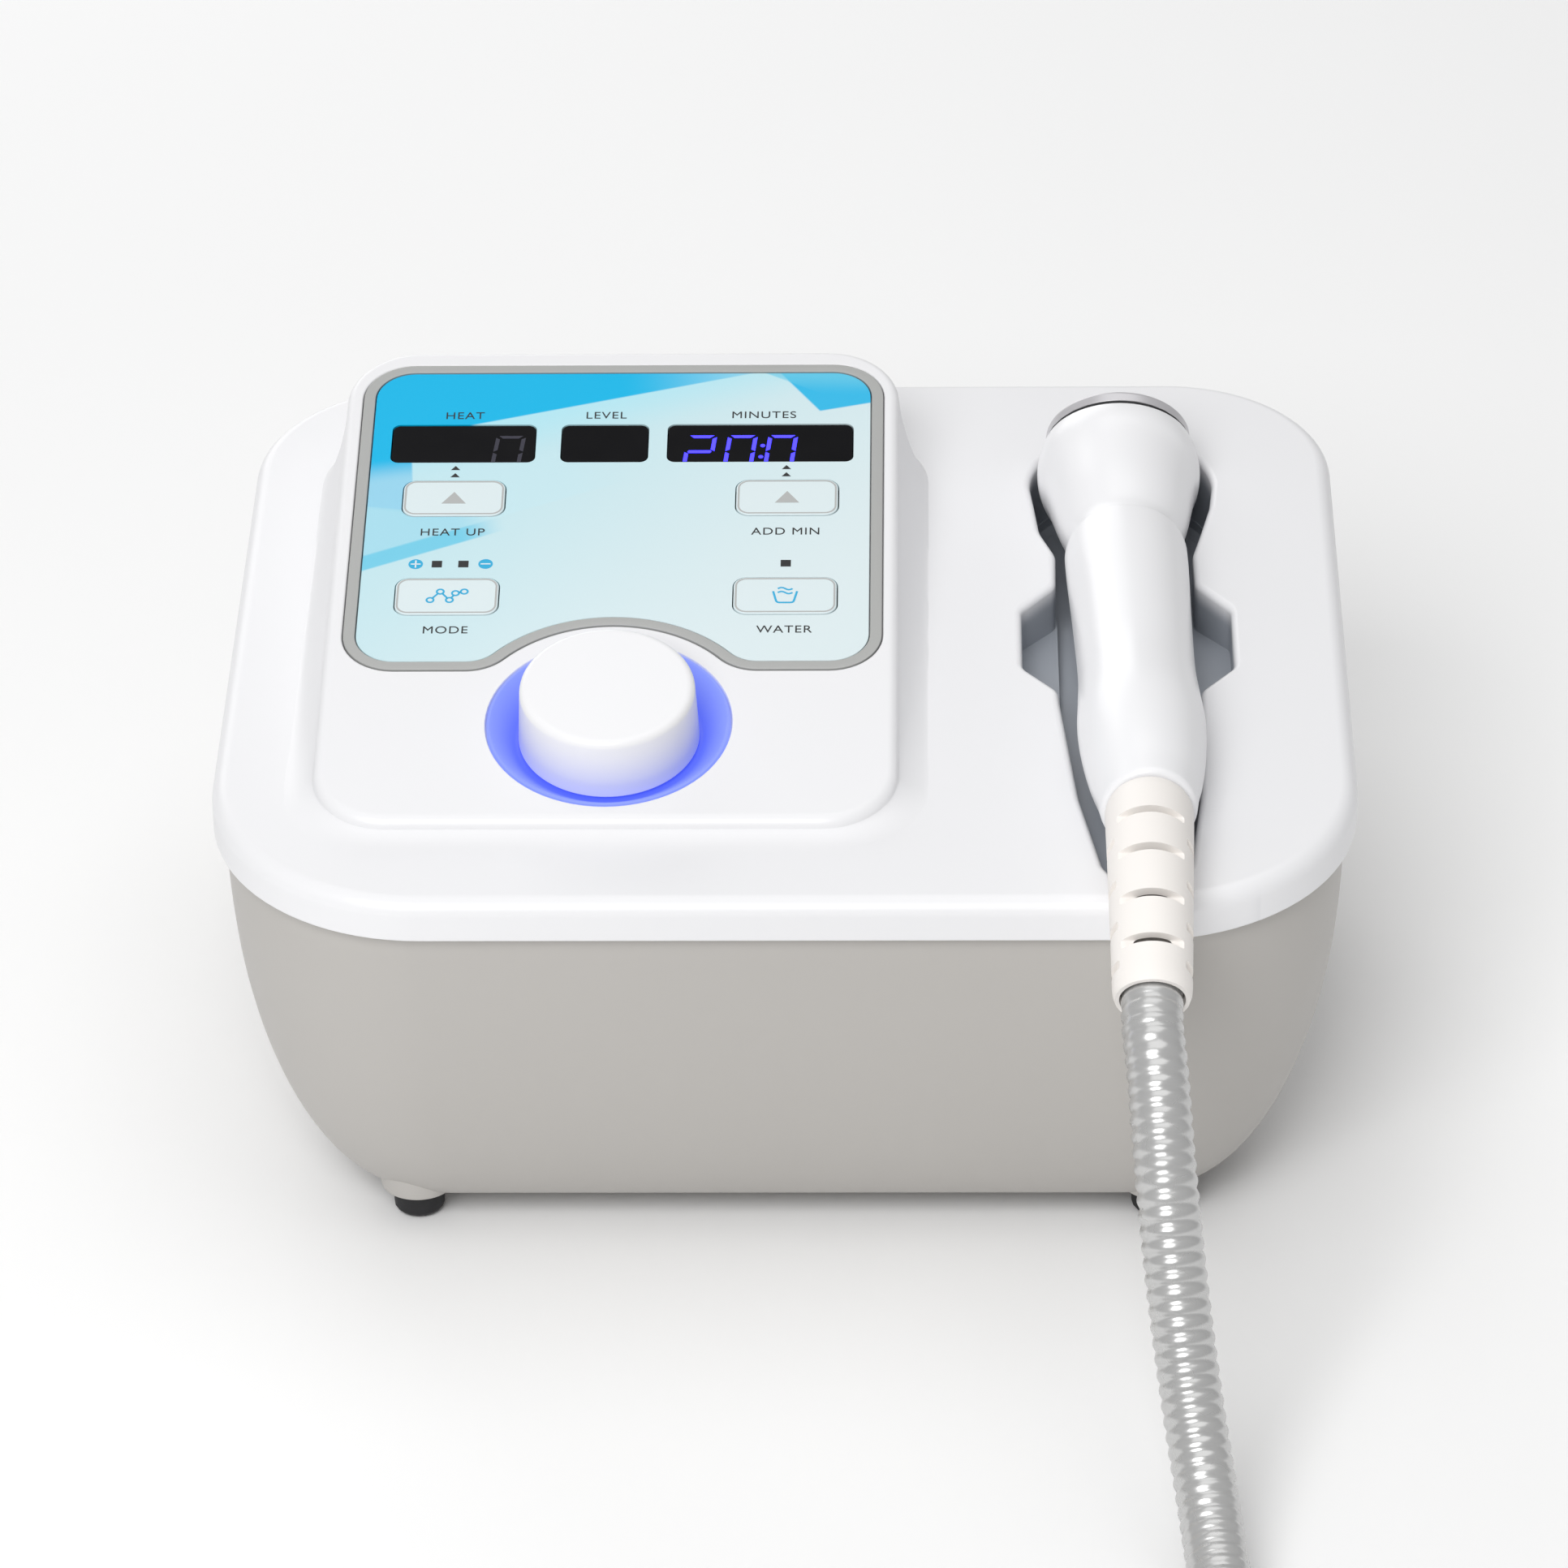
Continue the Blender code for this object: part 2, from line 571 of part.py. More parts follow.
def build_panel():
    frame = finish("panel_frame", prism(panel_outline(CLEARANCE), -PANEL_THICKNESS, 0.2), "silver_trim", CONSOLE)
    cut(frame, cutter("frame_inside", prism(panel_outline(FRAME_WIDTH), -9.0, 9.0), CONSOLE))
    inside = panel_outline(FRAME_WIDTH + CLEARANCE)
    panel = finish("control_panel", prism(inside, -PANEL_THICKNESS, 0.0), "overlay", CONSOLE)
    for name, (x, width, display) in WINDOWS.items():
        hole = rounded_plate(x, WINDOW_V, width, WINDOW_HEIGHT, 2.6)
        cut(panel, cutter(f"window_hole_{name}", prism(hole, -9.0, 9.0), CONSOLE))
        plate = rounded_plate(x, WINDOW_V, width - 2 * CLEARANCE, WINDOW_HEIGHT - 2 * CLEARANCE, 2.3)
        finish(f"display_window_{name}", prism(plate, -1.9, -0.15), "window", CONSOLE)
        low, high = WINDOW_V - DISPLAY_HEIGHT / 2, WINDOW_V + DISPLAY_HEIGHT / 2
        body = block((x - display / 2, x + display / 2), (low, high), (BOARD_TOP + CLEARANCE, -3.4))
        finish(f"led_display_{name}", body, "black_plastic", CONSOLE)
    for name, (x, v) in KEYS.items():
        hole = rounded_plate(x, v, KEY_SIZE[0] + 0.7, KEY_SIZE[1] + 0.7, KEY_RADIUS + 0.3)
        cut(panel, cutter(f"key_hole_{name}", prism(hole, -9.0, 9.0), CONSOLE))
        cap = finish(f"{name}_key", prism(rounded_plate(x, v, *KEY_SIZE, KEY_RADIUS), -2.4, 0.35), "key", CONSOLE)
        bottom = BOARD_TOP + CLEARANCE + SWITCH_HEIGHT + KEY_TRAVEL + CLEARANCE
        join(cap, cutter(f"{name}_stem", rod(2.4, bottom, -1.2, x, v, 12), CONSOLE))
        switch = block((x - 3, x + 3), (v - 3, v + 3), (BOARD_TOP + CLEARANCE, BOARD_TOP + CLEARANCE + SWITCH_HEIGHT))
        finish(f"{name}_switch", switch, "black_plastic", CONSOLE)
    board = rounded_rectangle(-124.0, 20.5, -31.5, 88.0, 4.0, 2)
    finish("display_board", prism(board, BOARD_TOP - BOARD_THICKNESS, BOARD_TOP), "circuit_board", CONSOLE)


def build_knob():
    dish = [(35.2, 0.0), (RING_RADIUS, -0.5), (RING_RADIUS, -RING_FLANGE), (RING_BODY_RADIUS, -RING_FLANGE),
            (RING_BODY_RADIUS, DISH_BOTTOM), (5.1, DISH_BOTTOM), (5.1, DISH_FLOOR), (28.0, DISH_FLOOR),
            (28.6, -5.6), (30.6, -4.1), (33.0, -2.0)]
    turned("light_ring", dish, "blue_light", KNOB, 40)
    knob = [(0.0, KNOB_TOP), (KNOB_TOP_RADIUS - 3.0, KNOB_TOP), (KNOB_TOP_RADIUS - 1.2, KNOB_TOP - 0.5),
            (KNOB_TOP_RADIUS - 0.2, KNOB_TOP - 1.6), (KNOB_TOP_RADIUS, KNOB_TOP - 3.0), (KNOB_RADIUS, KNOB_BASE),
            (KNOB_RADIUS - 2.4, KNOB_BASE), (KNOB_TOP_RADIUS - 2.4, 10.5), (7.0, 10.5), (7.0, -2.4),
            (SHAFT_RADIUS + CLEARANCE, -2.4), (SHAFT_RADIUS + CLEARANCE, 8.5), (0.0, 8.5)]
    turned("intensity_knob", knob, "white_abs", KNOB, 40, closed=False)
    turned("encoder_shaft", [(0.0, 8.2), (SHAFT_RADIUS, 7.4), (SHAFT_RADIUS, ENCODER_BOTTOM - 1.0),
                             (0.0, ENCODER_BOTTOM - 1.0)], "steel", KNOB, 14, closed=False)
    housing = finish("encoder_body", block((-7, 7), (-7, 7), (ENCODER_BOTTOM, DISH_BOTTOM - CLEARANCE)),
                     "black_plastic", KNOB)
    join(housing, cutter("encoder_bush", rod(4.6, DISH_BOTTOM - 2, -4.2, segments=16), KNOB))
    cut(housing, cutter("encoder_bore", rod(SHAFT_RADIUS + CLEARANCE, -40.0, 20.0, segments=16), KNOB))
    plunger = [(0.0, ENCODER_BOTTOM - 1.3), (5.5, ENCODER_BOTTOM - 1.3), (5.5, ENCODER_BOTTOM - 2.8),
               (0.0, ENCODER_BOTTOM - 2.8)]
    turned("encoder_plunger", plunger, "black_plastic", KNOB, 16, closed=False)


# ---------------------------------------------------------------- inside the tub

def star_outline(blades, hub, tip, lean, thickness):
    """A hub with leaning blades, as one closed counter-clockwise outline."""
    points = []
    for k in range(blades):
        start = 360.0 * k / blades
        grip = math.degrees(thickness / hub)
        end = math.degrees(thickness / tip)
        points += arc(0, 0, tip, start + lean - end / 2, start + lean + end / 2, 1)
        points += arc(0, 0, hub, start + grip / 2, start + 360.0 / blades - grip / 2, 2)
    return points


def build_fan():
    x, z, radius = VENT
    at = looking_back(x, z)
    frame = finish("fan_frame", block((-30, 30), (-30, 30), (117.0, 131.5)), "black_plastic", at)
    cut(frame, cutter("fan_bore", rod(28.2, 100.0, 128.6, segments=32), at))
    slots = [(25.5, start) for start in (0, 90, 180, 270)]
    for number, (reach, start) in enumerate(slots):
        sector = [point for point in arc(0, 0, 12.0, start + 74, start + 16, 4)]
        outline = arc(0, 0, reach, start + 8, start + 82, 5) + sector
        cut(frame, cutter(f"fan_gap_{number}", prism(outline, 127.0, 140.0), at))
    rotor = finish("fan_rotor", prism(star_outline(7, 11.0, 26.0, 26.0, 3.2), 118.5, 127.4), "black_plastic", at)
    return rotor


def build_radiator():
    """Finned block in front of the fan, with upright fins."""
    x, z, radius = VENT
    fins, pitch, thick, root, depth = 11, 6.0, 2.0, 5.0, 17.0
    left = -(fins - 1) * pitch / 2 - thick / 2
    outline = [(left, 0.0), (-left, 0.0)]
    for k in reversed(range(fins)):
        start = left + k * pitch
        outline += [(start + thick, depth), (start, depth)]
        if k:
            outline += [(start, root), (start - pitch + thick, root)]
    finish("radiator", prism(outline, -29.0, 29.0), "aluminium", Matrix.Translation((x, 98.0, z)))


def build_inside():
    build_fan()
    build_radiator()
    posts = finish("main_board", prism(rounded_rectangle(-100, 8, -84, 4, 3.0, 2), 24.0, 25.6), "circuit_board")
    for number, (x, y) in enumerate(((-93, -77), (1, -77), (-93, -3), (1, -3))):
        cut(posts, cutter(f"board_hole_{number}", rod(1.7, 0.0, 60.0, x, y, 10)))
    bevel(finish("power_supply", block((-118, -22), (22, 84), (13.0, 33.5)), "aluminium"), 1.5)

    tank = finish("water_tank", block((16, 106), (22, 92), (14.0, 96.0)), "clear_tank")
    cut(tank, cutter("tank_inside", block((18.6, 103.4), (24.6, 89.4), (16.6, 93.4))))
    cut(tank, cutter("tank_inlet", rod(8.4, 80.0, 100.0, segments=16), looking_back(*FILLER)))
    cut(tank, cutter("tank_outlet", rod(4.3, 10.0, 30.0, segments=12), looking_back(PUMP_X, PUMP_Z)))

    pump_at = Matrix.Translation((PUMP_X, 0, PUMP_Z)) @ Matrix.Rotation(math.radians(90), 4, "X")
    body = [(0.0, 56.0), (14.0, 56.0), (15.0, 54.5), (15.0, 26.0), (18.0, 26.0), (18.0, 12.0), (15.0, 12.0),
            (15.0, 23.0), (0.0, 23.0)]
    turned("pump_body", body, "black_plastic", pump_at, 24, closed=False)
    cover = [(2.6, 11.7), (18.0, 11.7), (18.0, 9.2), (7.0, 9.2), (5.5, -18.0), (3.9, -19.0), (3.9, -26.0),
             (2.6, -26.0)]
    turned("pump_cover", cover, "black_plastic", pump_at, 24)
    finish("pump_impeller", prism(star_outline(6, 5.5, 13.0, 24.0, 2.2), 13.5, 21.5), "steel", pump_at)

    delivery = ((74.4, -40.0, PUMP_Z), (56.0, -40.0, 33.0), (38.0, -30.0, 38.0), (20.0, -5.0, 52.0),
                (-10.0, 40.0, 58.0), (-34.0, 66.0, 62.0), (-50.0, 82.0, 70.0), (-52.0, 96.0, 73.0))
    tube("delivery_tube", smooth_path(delivery, 18), 3.5, "tube")


# ---------------------------------------------------------------- rear plate and its fittings

def build_rear():
    x0, z0 = LAND_X - 3.0, (LAND_Z[0] + 3.0, LAND_Z[1] - 3.0)
    plate = finish("rear_plate", block((-x0, x0), (PLATE_FACE - PLATE_THICKNESS, PLATE_FACE), z0), "steel")
    cut(
        plate,
        cutter("vent_hole", rod(VENT[2] - 2.0, 100.0, 150.0, segments=28), looking_back(VENT[0], VENT[1])),
        cutter("inlet_hole", block((INLET[0] - 15.5, INLET[0] + 15.5), (110, 150), (INLET[1] - 28.5, INLET[1] + 28.5))),
        cutter("filler_hole", rod(19.7, 100.0, 150.0, segments=28), looking_back(*FILLER)),
        cutter("socket_hole", rod(11.6, 100.0, 150.0, segments=28), looking_back(*SOCKET)),
    )
    grille = turned("vent_grille", [(0.0, 137.6), (VENT[2] + 1.5, 137.6), (VENT[2] + 2.4, FITTING_FACE),
                                    (0.0, FITTING_FACE)], "black_plastic", looking_back(VENT[0], VENT[1]), 32,
                    closed=False)
    for row in range(-3, 4):
        middle = row * 7.6
        reach = math.sqrt(26.5 ** 2 - middle ** 2)
        bar = block((VENT[0] - reach, VENT[0] + reach), (130, 142), (VENT[1] + middle - 2.1, VENT[1] + middle + 2.1))
        cut(grille, cutter(f"grille_slot_{row + 3}", bar))
    build_inlet()
    build_filler()
    socket = [(0.0, 124.0), (9.0, 124.0), (9.0, 139.4), (13.0, 139.4), (14.0, 138.4), (16.5, 138.4),
              (17.5, 137.6), (17.5, FITTING_FACE), (11.0, FITTING_FACE), (11.0, 118.0), (0.0, 118.0)]
    turned("hose_socket", socket, "black_plastic", looking_back(*SOCKET), 28, closed=False)


def build_inlet():
    """Mains inlet, fuse drawer and rocker switch in one moulding."""
    x, z = INLET
    module = finish("inlet_module", block((x - 17.5, x + 17.5), (FITTING_FACE, 138.4), (z - 31.0, z + 31.0)),
                    "black_plastic")
    join(module, cutter("inlet_body", block((x - 15.0, x + 15.0), (108.0, 137.0), (z - 28.0, z + 28.0))))
    floor = 121.0
    socket = [(x - 12.2, z - 22.0), (x - 8.0, z - 26.2), (x + 8.0, z - 26.2), (x + 12.2, z - 22.0),
              (x + 12.2, z - 9.8), (x - 12.2, z - 9.8)]
    lying = Matrix.Rotation(math.radians(90), 4, "X")  # outline (x, z) extruded along -Y
    cut(
        module,
        cutter("inlet_socket", prism(socket, -150.0, -floor), lying),
        cutter("drawer_slot", block((x - 11.3, x + 11.3), (116.0, 150.0), (z - 5.3, z + 5.3))),
        cutter("rocker_slot", block((x - 11.3, x + 11.3), (124.0, 150.0), (ROCKER_Z - 8.4, ROCKER_Z + 6.4))),
    )
    for number, (px, pz) in enumerate(((0.0, -13.6), (-7.0, -18.6), (7.0, -18.6))):
        pin = block((x + px - 1.0, x + px + 1.0), (floor - 2.0, 135.0), (z + pz - 2.0, z + pz + 2.0))
        join(module, cutter(f"inlet_pin_{number}", pin))

    drawer = finish("fuse_drawer", block((x - 11.0, x + 11.0), (116.6, 139.2), (z - 5.0, z + 5.0)), "black_plastic")
    cut(drawer, cutter("drawer_pocket", block((x - 8.5, x + 8.5), (118.6, 134.0), (z - 3.0, z + 9.0))))
    cut(drawer, cutter("drawer_grip", block((x - 6.0, x + 6.0), (136.4, 142.0), (z - 9.0, z - 1.6))))

    # The cap is two flats meeting at its middle, on a half-round back that turns about its axis.
    cap = [(-6.2, 4.9), (0.0, 2.6), (6.2, 4.9), (6.0, 0.5)] + arc(0, 0, 6.0, -10, -170, 6) + [(-6.0, 0.5)]
    outline = list(reversed(cap))
    tilt = Matrix.Rotation(ROCKER_REST, 4, "X")
    across = Matrix.Rotation(math.radians(90), 4, "Z") @ Matrix.Rotation(math.radians(90), 4, "X")
    at = Matrix.Translation((x, 134.4, ROCKER_Z - 1.0)) @ tilt @ across @ Matrix.Rotation(math.radians(-90), 4, "Z")
    finish("power_rocker", prism(outline, -10.8, 10.8), "black_plastic", at)


def build_filler():
    at = looking_back(*FILLER)
    port = [(18.2, 138.2), (20.0, 138.2), (21.2, 137.0), (21.2, FITTING_FACE), (19.0, FITTING_FACE), (19.0, 120.0),
            (9.4, 120.0), (9.4, 95.0), (7.9, 94.0), (7.9, 87.0), (6.4, 87.0), (6.4, 130.5), (9.0, 130.5),
            (9.0, 122.2), (18.2, 122.2)]
    turned("filler_port", port, "white_abs", at, 28)
    cap = [(0.0, 136.6), (12.8, 136.6), (13.6, 135.8), (14.0, 124.0), (9.8, 124.0), (9.8, 132.0), (0.0, 132.0)]
    lid = turned("filler_cap", cap, "white_abs", at, 28, closed=False)
    join(lid, cutter("cap_handle", block((-10.5, 10.5), (-1.8, 1.8), (135.5, 140.4)), at))


# ---------------------------------------------------------------- handpiece and hose

def head_profile(grow):
    """The bulb from its rear pole to its neck, as (radius, distance along the handle)."""
    radius = HEAD_RADIUS + grow
    ball = [(radius * math.sin(math.radians(a)), -radius * math.cos(math.radians(a))) for a in range(0, 113, 14)]
    shoulder = [(21.9 + grow, 19.0), (20.4 + grow, 28.0), (18.3 + grow, 36.5), (NECK_RADIUS + grow, NECK_START),
                (NECK_RADIUS + grow, NECK_END)]
    return ball + shoulder


def build_handpiece():
    outside = list(reversed(head_profile(0.0)))
    head = turned("handpiece_head_shell", [(0.0, NECK_END)] + outside, "white_abs", HANDPIECE, 32, closed=False)
    inside = list(reversed(head_profile(-2.4)))
    hollow = turned("head_hollow", [(0.0, NECK_END + 9.0), (NECK_RADIUS - 2.4, NECK_END + 9.0)] + inside[1:], None,
                    HANDPIECE, 24, closed=False, helper=True)
    face = cutter("head_face", block((-40, 40), (-40, 40), (PLATE_CUT, PLATE_CUT + 40)), PLATE)
    cut(head, hollow, face)

    outer = [(radius, s) for s, radius in reversed(GRIP_PROFILE)]
    inner = [(radius - GRIP_WALL, s) for s, radius in GRIP_PROFILE[3:-1]]
    bore = [(NECK_RADIUS + 0.45, GRIP_PROFILE[0][0]), (NECK_RADIUS + 0.45, NECK_END + 1.0)] + inner[1:]
    grip = outer + bore + [(9.0, 188.5), (9.0, GRIP_PROFILE[-1][0])]
    turned("handpiece_grip", grip, "white_abs", HANDPIECE, 28)

    plate = [(0.0, 15.8), (PLATE_RADIUS - 1.4, 15.8), (PLATE_RADIUS - 0.3, 15.2), (PLATE_RADIUS, 14.2),
             (PLATE_RADIUS, 12.0), (0.0, 12.0)]
    turned("treatment_plate", plate, "aluminium", PLATE, 32, closed=False)
    turned("plate_seal", [(19.2, 11.7), (22.6, 11.7), (22.6, 10.7), (19.2, 10.7)], "rubber", PLATE, 28)
    finish("thermoelectric_module", block((-13, 13), (-13, 13), (8.1, 11.7)), "relief_white", PLATE)
    finish("cooling_block", block((-13.5, 13.5), (-13.5, 13.5), (-2.0, 7.8)), "aluminium", PLATE)
    build_relief_and_hose()


def relief_points(count=12):
    """The boot's middle line: an arc that droops from the handle's line to the hose's."""
    start, end = RELIEF_DROOP
    bend = RELIEF_LENGTH / (end - start)
    points = []
    for k in range(count):
        share = k / (count - 1)
        angle = start + (end - start) * share
        points.append(Vector((
            TAIL.x - 0.9 * share,
            TAIL.y - bend * (math.sin(angle) - math.sin(start)),
            TAIL.z - bend * (math.cos(start) - math.cos(angle)),
        )))
    return points


def build_relief_and_hose():
    middle = relief_points()
    ahead = (middle[1] - middle[0]).normalized()
    first, last = RELIEF_RADII
    radii = [(first + (last - first) * k / (len(middle) - 1)) / first for k in range(len(middle))]
    tube("strain_relief", [middle[0] + ahead * CLEARANCE] + middle[1:], first, "relief_white", 3, radii)
    out = (middle[-1] - middle[-2]).normalized()
    start = middle[-1] + out * 1.3
    route = [start, start + out * 8.0, *HOSE_ROUTE]
    tube("handpiece_hose", smooth_path(route, HOSE_POINTS), HOSE_RADIUS, "hose", 2)
    build_coil_and_connector()


def build_coil_and_connector():
    x, y = COIL_CENTRE
    height = 2 * HOSE_RADIUS * COIL_TURNS
    low, high = 0.1, height + 0.1
    outer, inner = COIL_RADIUS + HOSE_RADIUS, COIL_RADIUS - HOSE_RADIUS
    ring = [(outer - 4.0, high), (outer, high - 5.0), (outer, low + 5.0), (outer - 4.0, low),
            (inner + 4.0, low), (inner, low + 5.0), (inner, high - 5.0), (inner + 4.0, high)]
    turned("hose_coil", ring, "hose", Matrix.Translation((x, y, 0.0)), 40)
    half, grip, nose = CONNECTOR_LENGTH / 2, CONNECTOR_RADIUS, 8.5
    plug = [(0.0, half), (nose, half), (nose, half - 12.0), (grip - 1.5, half - 12.0), (grip, half - 13.5),
            (grip, half - 26.0), (grip - 1.4, half - 27.5), (grip - 1.4, -half + 20.0), (10.2, -half), (0.0, -half)]
    # It lies straight on from the end of the second turn, its nose towards -Y.
    at = Matrix.Translation((x + COIL_RADIUS, y - half, high + CLEARANCE + grip)) @ Matrix.Rotation(math.pi / 2, 4, "X")
    turned("hose_connector", plug, "black_plastic", at, 24, closed=False)


def main():
    clear_scene()
    build_tub()
    build_feet()
    build_top()
    build_panel()
    build_knob()
    build_inside()
    build_rear()
    build_handpiece()


main()
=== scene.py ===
"""Looks of a tabletop cold-and-hot therapy unit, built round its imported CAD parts.

The case is centred on x = y = 0 and stands on z = 0 with its front towards -Y. Sizes are in millimetres and
are scaled by MM where a mesh is made; Blender's unit is the metre.
"""

import json
import math
from functools import partial

import bmesh
import bpy
from mathutils import Matrix, Vector

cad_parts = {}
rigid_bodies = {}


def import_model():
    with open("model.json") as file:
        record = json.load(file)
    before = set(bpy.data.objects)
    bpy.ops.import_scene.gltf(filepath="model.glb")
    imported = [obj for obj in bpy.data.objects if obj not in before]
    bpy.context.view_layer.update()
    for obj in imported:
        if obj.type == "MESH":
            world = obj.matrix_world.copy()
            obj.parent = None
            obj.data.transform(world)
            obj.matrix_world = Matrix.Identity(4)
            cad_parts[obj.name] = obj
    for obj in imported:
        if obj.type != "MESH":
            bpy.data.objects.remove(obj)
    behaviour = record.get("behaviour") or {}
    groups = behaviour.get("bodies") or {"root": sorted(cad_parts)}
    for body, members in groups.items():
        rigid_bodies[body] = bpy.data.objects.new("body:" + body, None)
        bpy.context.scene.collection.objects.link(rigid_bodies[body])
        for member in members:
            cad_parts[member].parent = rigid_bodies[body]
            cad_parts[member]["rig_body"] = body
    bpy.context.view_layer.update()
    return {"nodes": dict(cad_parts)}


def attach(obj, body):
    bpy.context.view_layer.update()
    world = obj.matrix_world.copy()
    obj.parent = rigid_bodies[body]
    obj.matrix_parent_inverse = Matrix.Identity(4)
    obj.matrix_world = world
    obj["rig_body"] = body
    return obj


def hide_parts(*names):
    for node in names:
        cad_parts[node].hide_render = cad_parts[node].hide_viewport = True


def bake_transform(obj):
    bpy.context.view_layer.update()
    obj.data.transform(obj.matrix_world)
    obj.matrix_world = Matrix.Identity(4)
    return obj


MM = 0.001

# Case
CASE_WIDTH, CASE_DEPTH = 336.0, 282.0
FRONT_RADIUS, REAR_RADIUS = 64.0, 50.0
WALL = 3.0
LID_TILT = math.radians(5.0)
LID_MIDDLE = 134.0
LIP_HALF = 6.5
TUB_BOTTOM = 9.0
TUB_INSET = 3.5
TUB_TAPER_X, TUB_TAPER_Y = 34.0, 28.0
TUB_CURVE, TUB_ROUNDNESS = 2.35, 1.46
TUB_BOTTOM_RADIUS = 31.0
TUB_LEVELS = 30
FOOT_X, FOOT_Y = 110.3, 103.0
FOOT_PLACES = [Matrix.Translation((x, y, 0)) for x in (-FOOT_X, FOOT_X) for y in (-FOOT_Y, FOOT_Y)]
BOSS_RADIUS, BOSS_BOTTOM, BOSS_TOP = 11.2, 8.7, 30.0
LAND_X, LAND_Y, LAND_Z, LAND_FOOT = 118.0, (108.0, 136.0), (37.0, 112.0), 26.0
PLATE_FACE = 135.7

# Console: x across and v up its slope
CONSOLE_TILT = math.radians(12.8)
CONSOLE_HEIGHT = 160.2
CONSOLE_X = (-137.5, 33.5)
CONSOLE_Y = (-107.0, 102.5)
CONSOLE_RADIUS = 22.0
CONSOLE_SKIN = 5.5
PANEL_LEFT, PANEL_RIGHT = -132.5, 28.9
PANEL_BOTTOM, PANEL_TOP = -44.7, 97.7
PANEL_RADIUS = 16.0
PANEL_RECESS = 2.5
PANEL_GAP, FRAME_WIDTH = 0.3, 3.9
WAVE_RADIUS, WAVE_FILLET = 42.4, 15.0
WINDOW_V, WINDOW_HEIGHT = 59.8, 18.1
WINDOWS = {"left": (-100.3, 44.5), "middle": (-56.9, 27.0), "right": (-9.1, 57.3)}
KEY_SIZE, KEY_GAP = (31.0, 16.4), 0.7
KEYS = {"temperature": (-102.0, 33.8), "time": (-0.5, 33.8), "pulse": (-102.0, -11.5), "fill": (-0.5, -11.5)}
KNOB_X, KNOB_V = -51.6, -67.3
RING_RADIUS, RING_FLANGE, RING_BODY_RADIUS = 35.9, 2.2, 32.7
DISH_FLOOR, DISH_BOTTOM = -6.6, -8.6

# Print: heights over the film's plane, and places in the console's frame
FILM_PRINT, KEY_PRINT, DIGIT_PRINT = 0.05, 0.40, -0.09
LABEL_SIZE = 4.6
LABELS = {
    "heat": ("HEAT", -100.5, 73.0), "level": ("LEVEL", -56.9, 73.0), "minutes": ("MINUTES", -8.2, 73.0),
    "heat_up": ("HEAT UP", -101.8, 18.0), "add_minutes": ("ADD MIN", -0.7, 18.0),
    "mode": ("MODE", -101.8, -26.7), "fill": ("WATER", -0.6, -26.7),
}
LAMP_V = 3.4
DIGIT_TOP, DIGIT_HEIGHT, DIGIT_WIDTH, DIGIT_BAR, DIGIT_LEAN = 62.9, 14.2, 7.9, 1.25, 0.10

# Handpiece and its cradle
HEAD = Vector((101.6, 80.0, 150.5))
TAIL = Vector((105.9, -113.0, 141.6))
HEAD_RADIUS, NECK_RADIUS = 25.3, 16.4
NECK_START, NECK_END = 44.0, 60.0
NECK_PROFILE = (
    (23.35, 10.6), (22.7, 14.4), (21.9, 19.0), (21.2, 23.5), (20.4, 28.0), (19.4, 32.5), (18.3, 36.5),
    (17.2, 40.5), (NECK_RADIUS, NECK_START), (NECK_RADIUS, NECK_END),
)
GRIP_PROFILE = (
    (52.0, 18.7), (62.0, 18.6), (90.0, 17.9), (118.0, 17.5), (134.0, 18.2), (147.0, 18.9), (160.0, 18.4),
    (174.0, 16.9), (185.0, 14.9),
)
PLATE_TILT = math.radians(24.5)
PLATE_CUT = 10.4
PLATE_RADIUS = 22.4
RELIEF_LENGTH, RELIEF_STEPS = 76.0, 40
RELIEF_DROOP = (math.radians(2.6), math.radians(25.0))
RELIEF_RADII = (12.9, 11.3)
CRADLE_X = 102.3
WELL_RADIUS, WELL_FLOOR = 28.2, 121.5
TROUGH_FLOOR, NOTCH_FLOOR, CRADLE_TOP = 123.0, 126.5, 172.0
TROUGH = (
    (74.6, 130.0, 78.0), (76.4, 126.6, 55.0), (81.4, 123.4, 40.0), (81.4, 123.4, -38.0), (86.2, 121.6, -88.0),
    (92.4, 117.8, -122.0), (97.0, 114.0, -131.0),
)
NOTCH_HALF = 31.7
CHANNEL = (97.0, 114.0, 125.6)

# Hose
HOSE_RADIUS = 8.8
HOSE_GROOVE = 8.15
HOSE_PITCH = 4.4
HOSE_WAVE = (0.0, 0.55, 1.0, 1.0, 0.55)
HOSE_ROUTE = (
    (106.0, -205.5, 112.5), (108.0, -226.0, 92.0), (111.0, -243.0, 66.0), (115.0, -262.0, 40.0),
    (119.5, -288.0, 19.5), (122.5, -320.0, 10.2), (124.0, -352.0, 8.9), (124.6, -382.0, 8.9),
    (124.9, -415.0, 8.9),
)
HOSE_LOW = HOSE_RADIUS + 0.1
COIL_CENTRE = (30.0, -447.0)
COIL_RADIUS = 95.0
CONNECTOR_RADIUS, CONNECTOR_LENGTH = 13.0, 62.0
CONNECTOR_HEIGHT = 48.6

INLET = (-8.0, 73.0)  # x and z of its middle on the rear plate

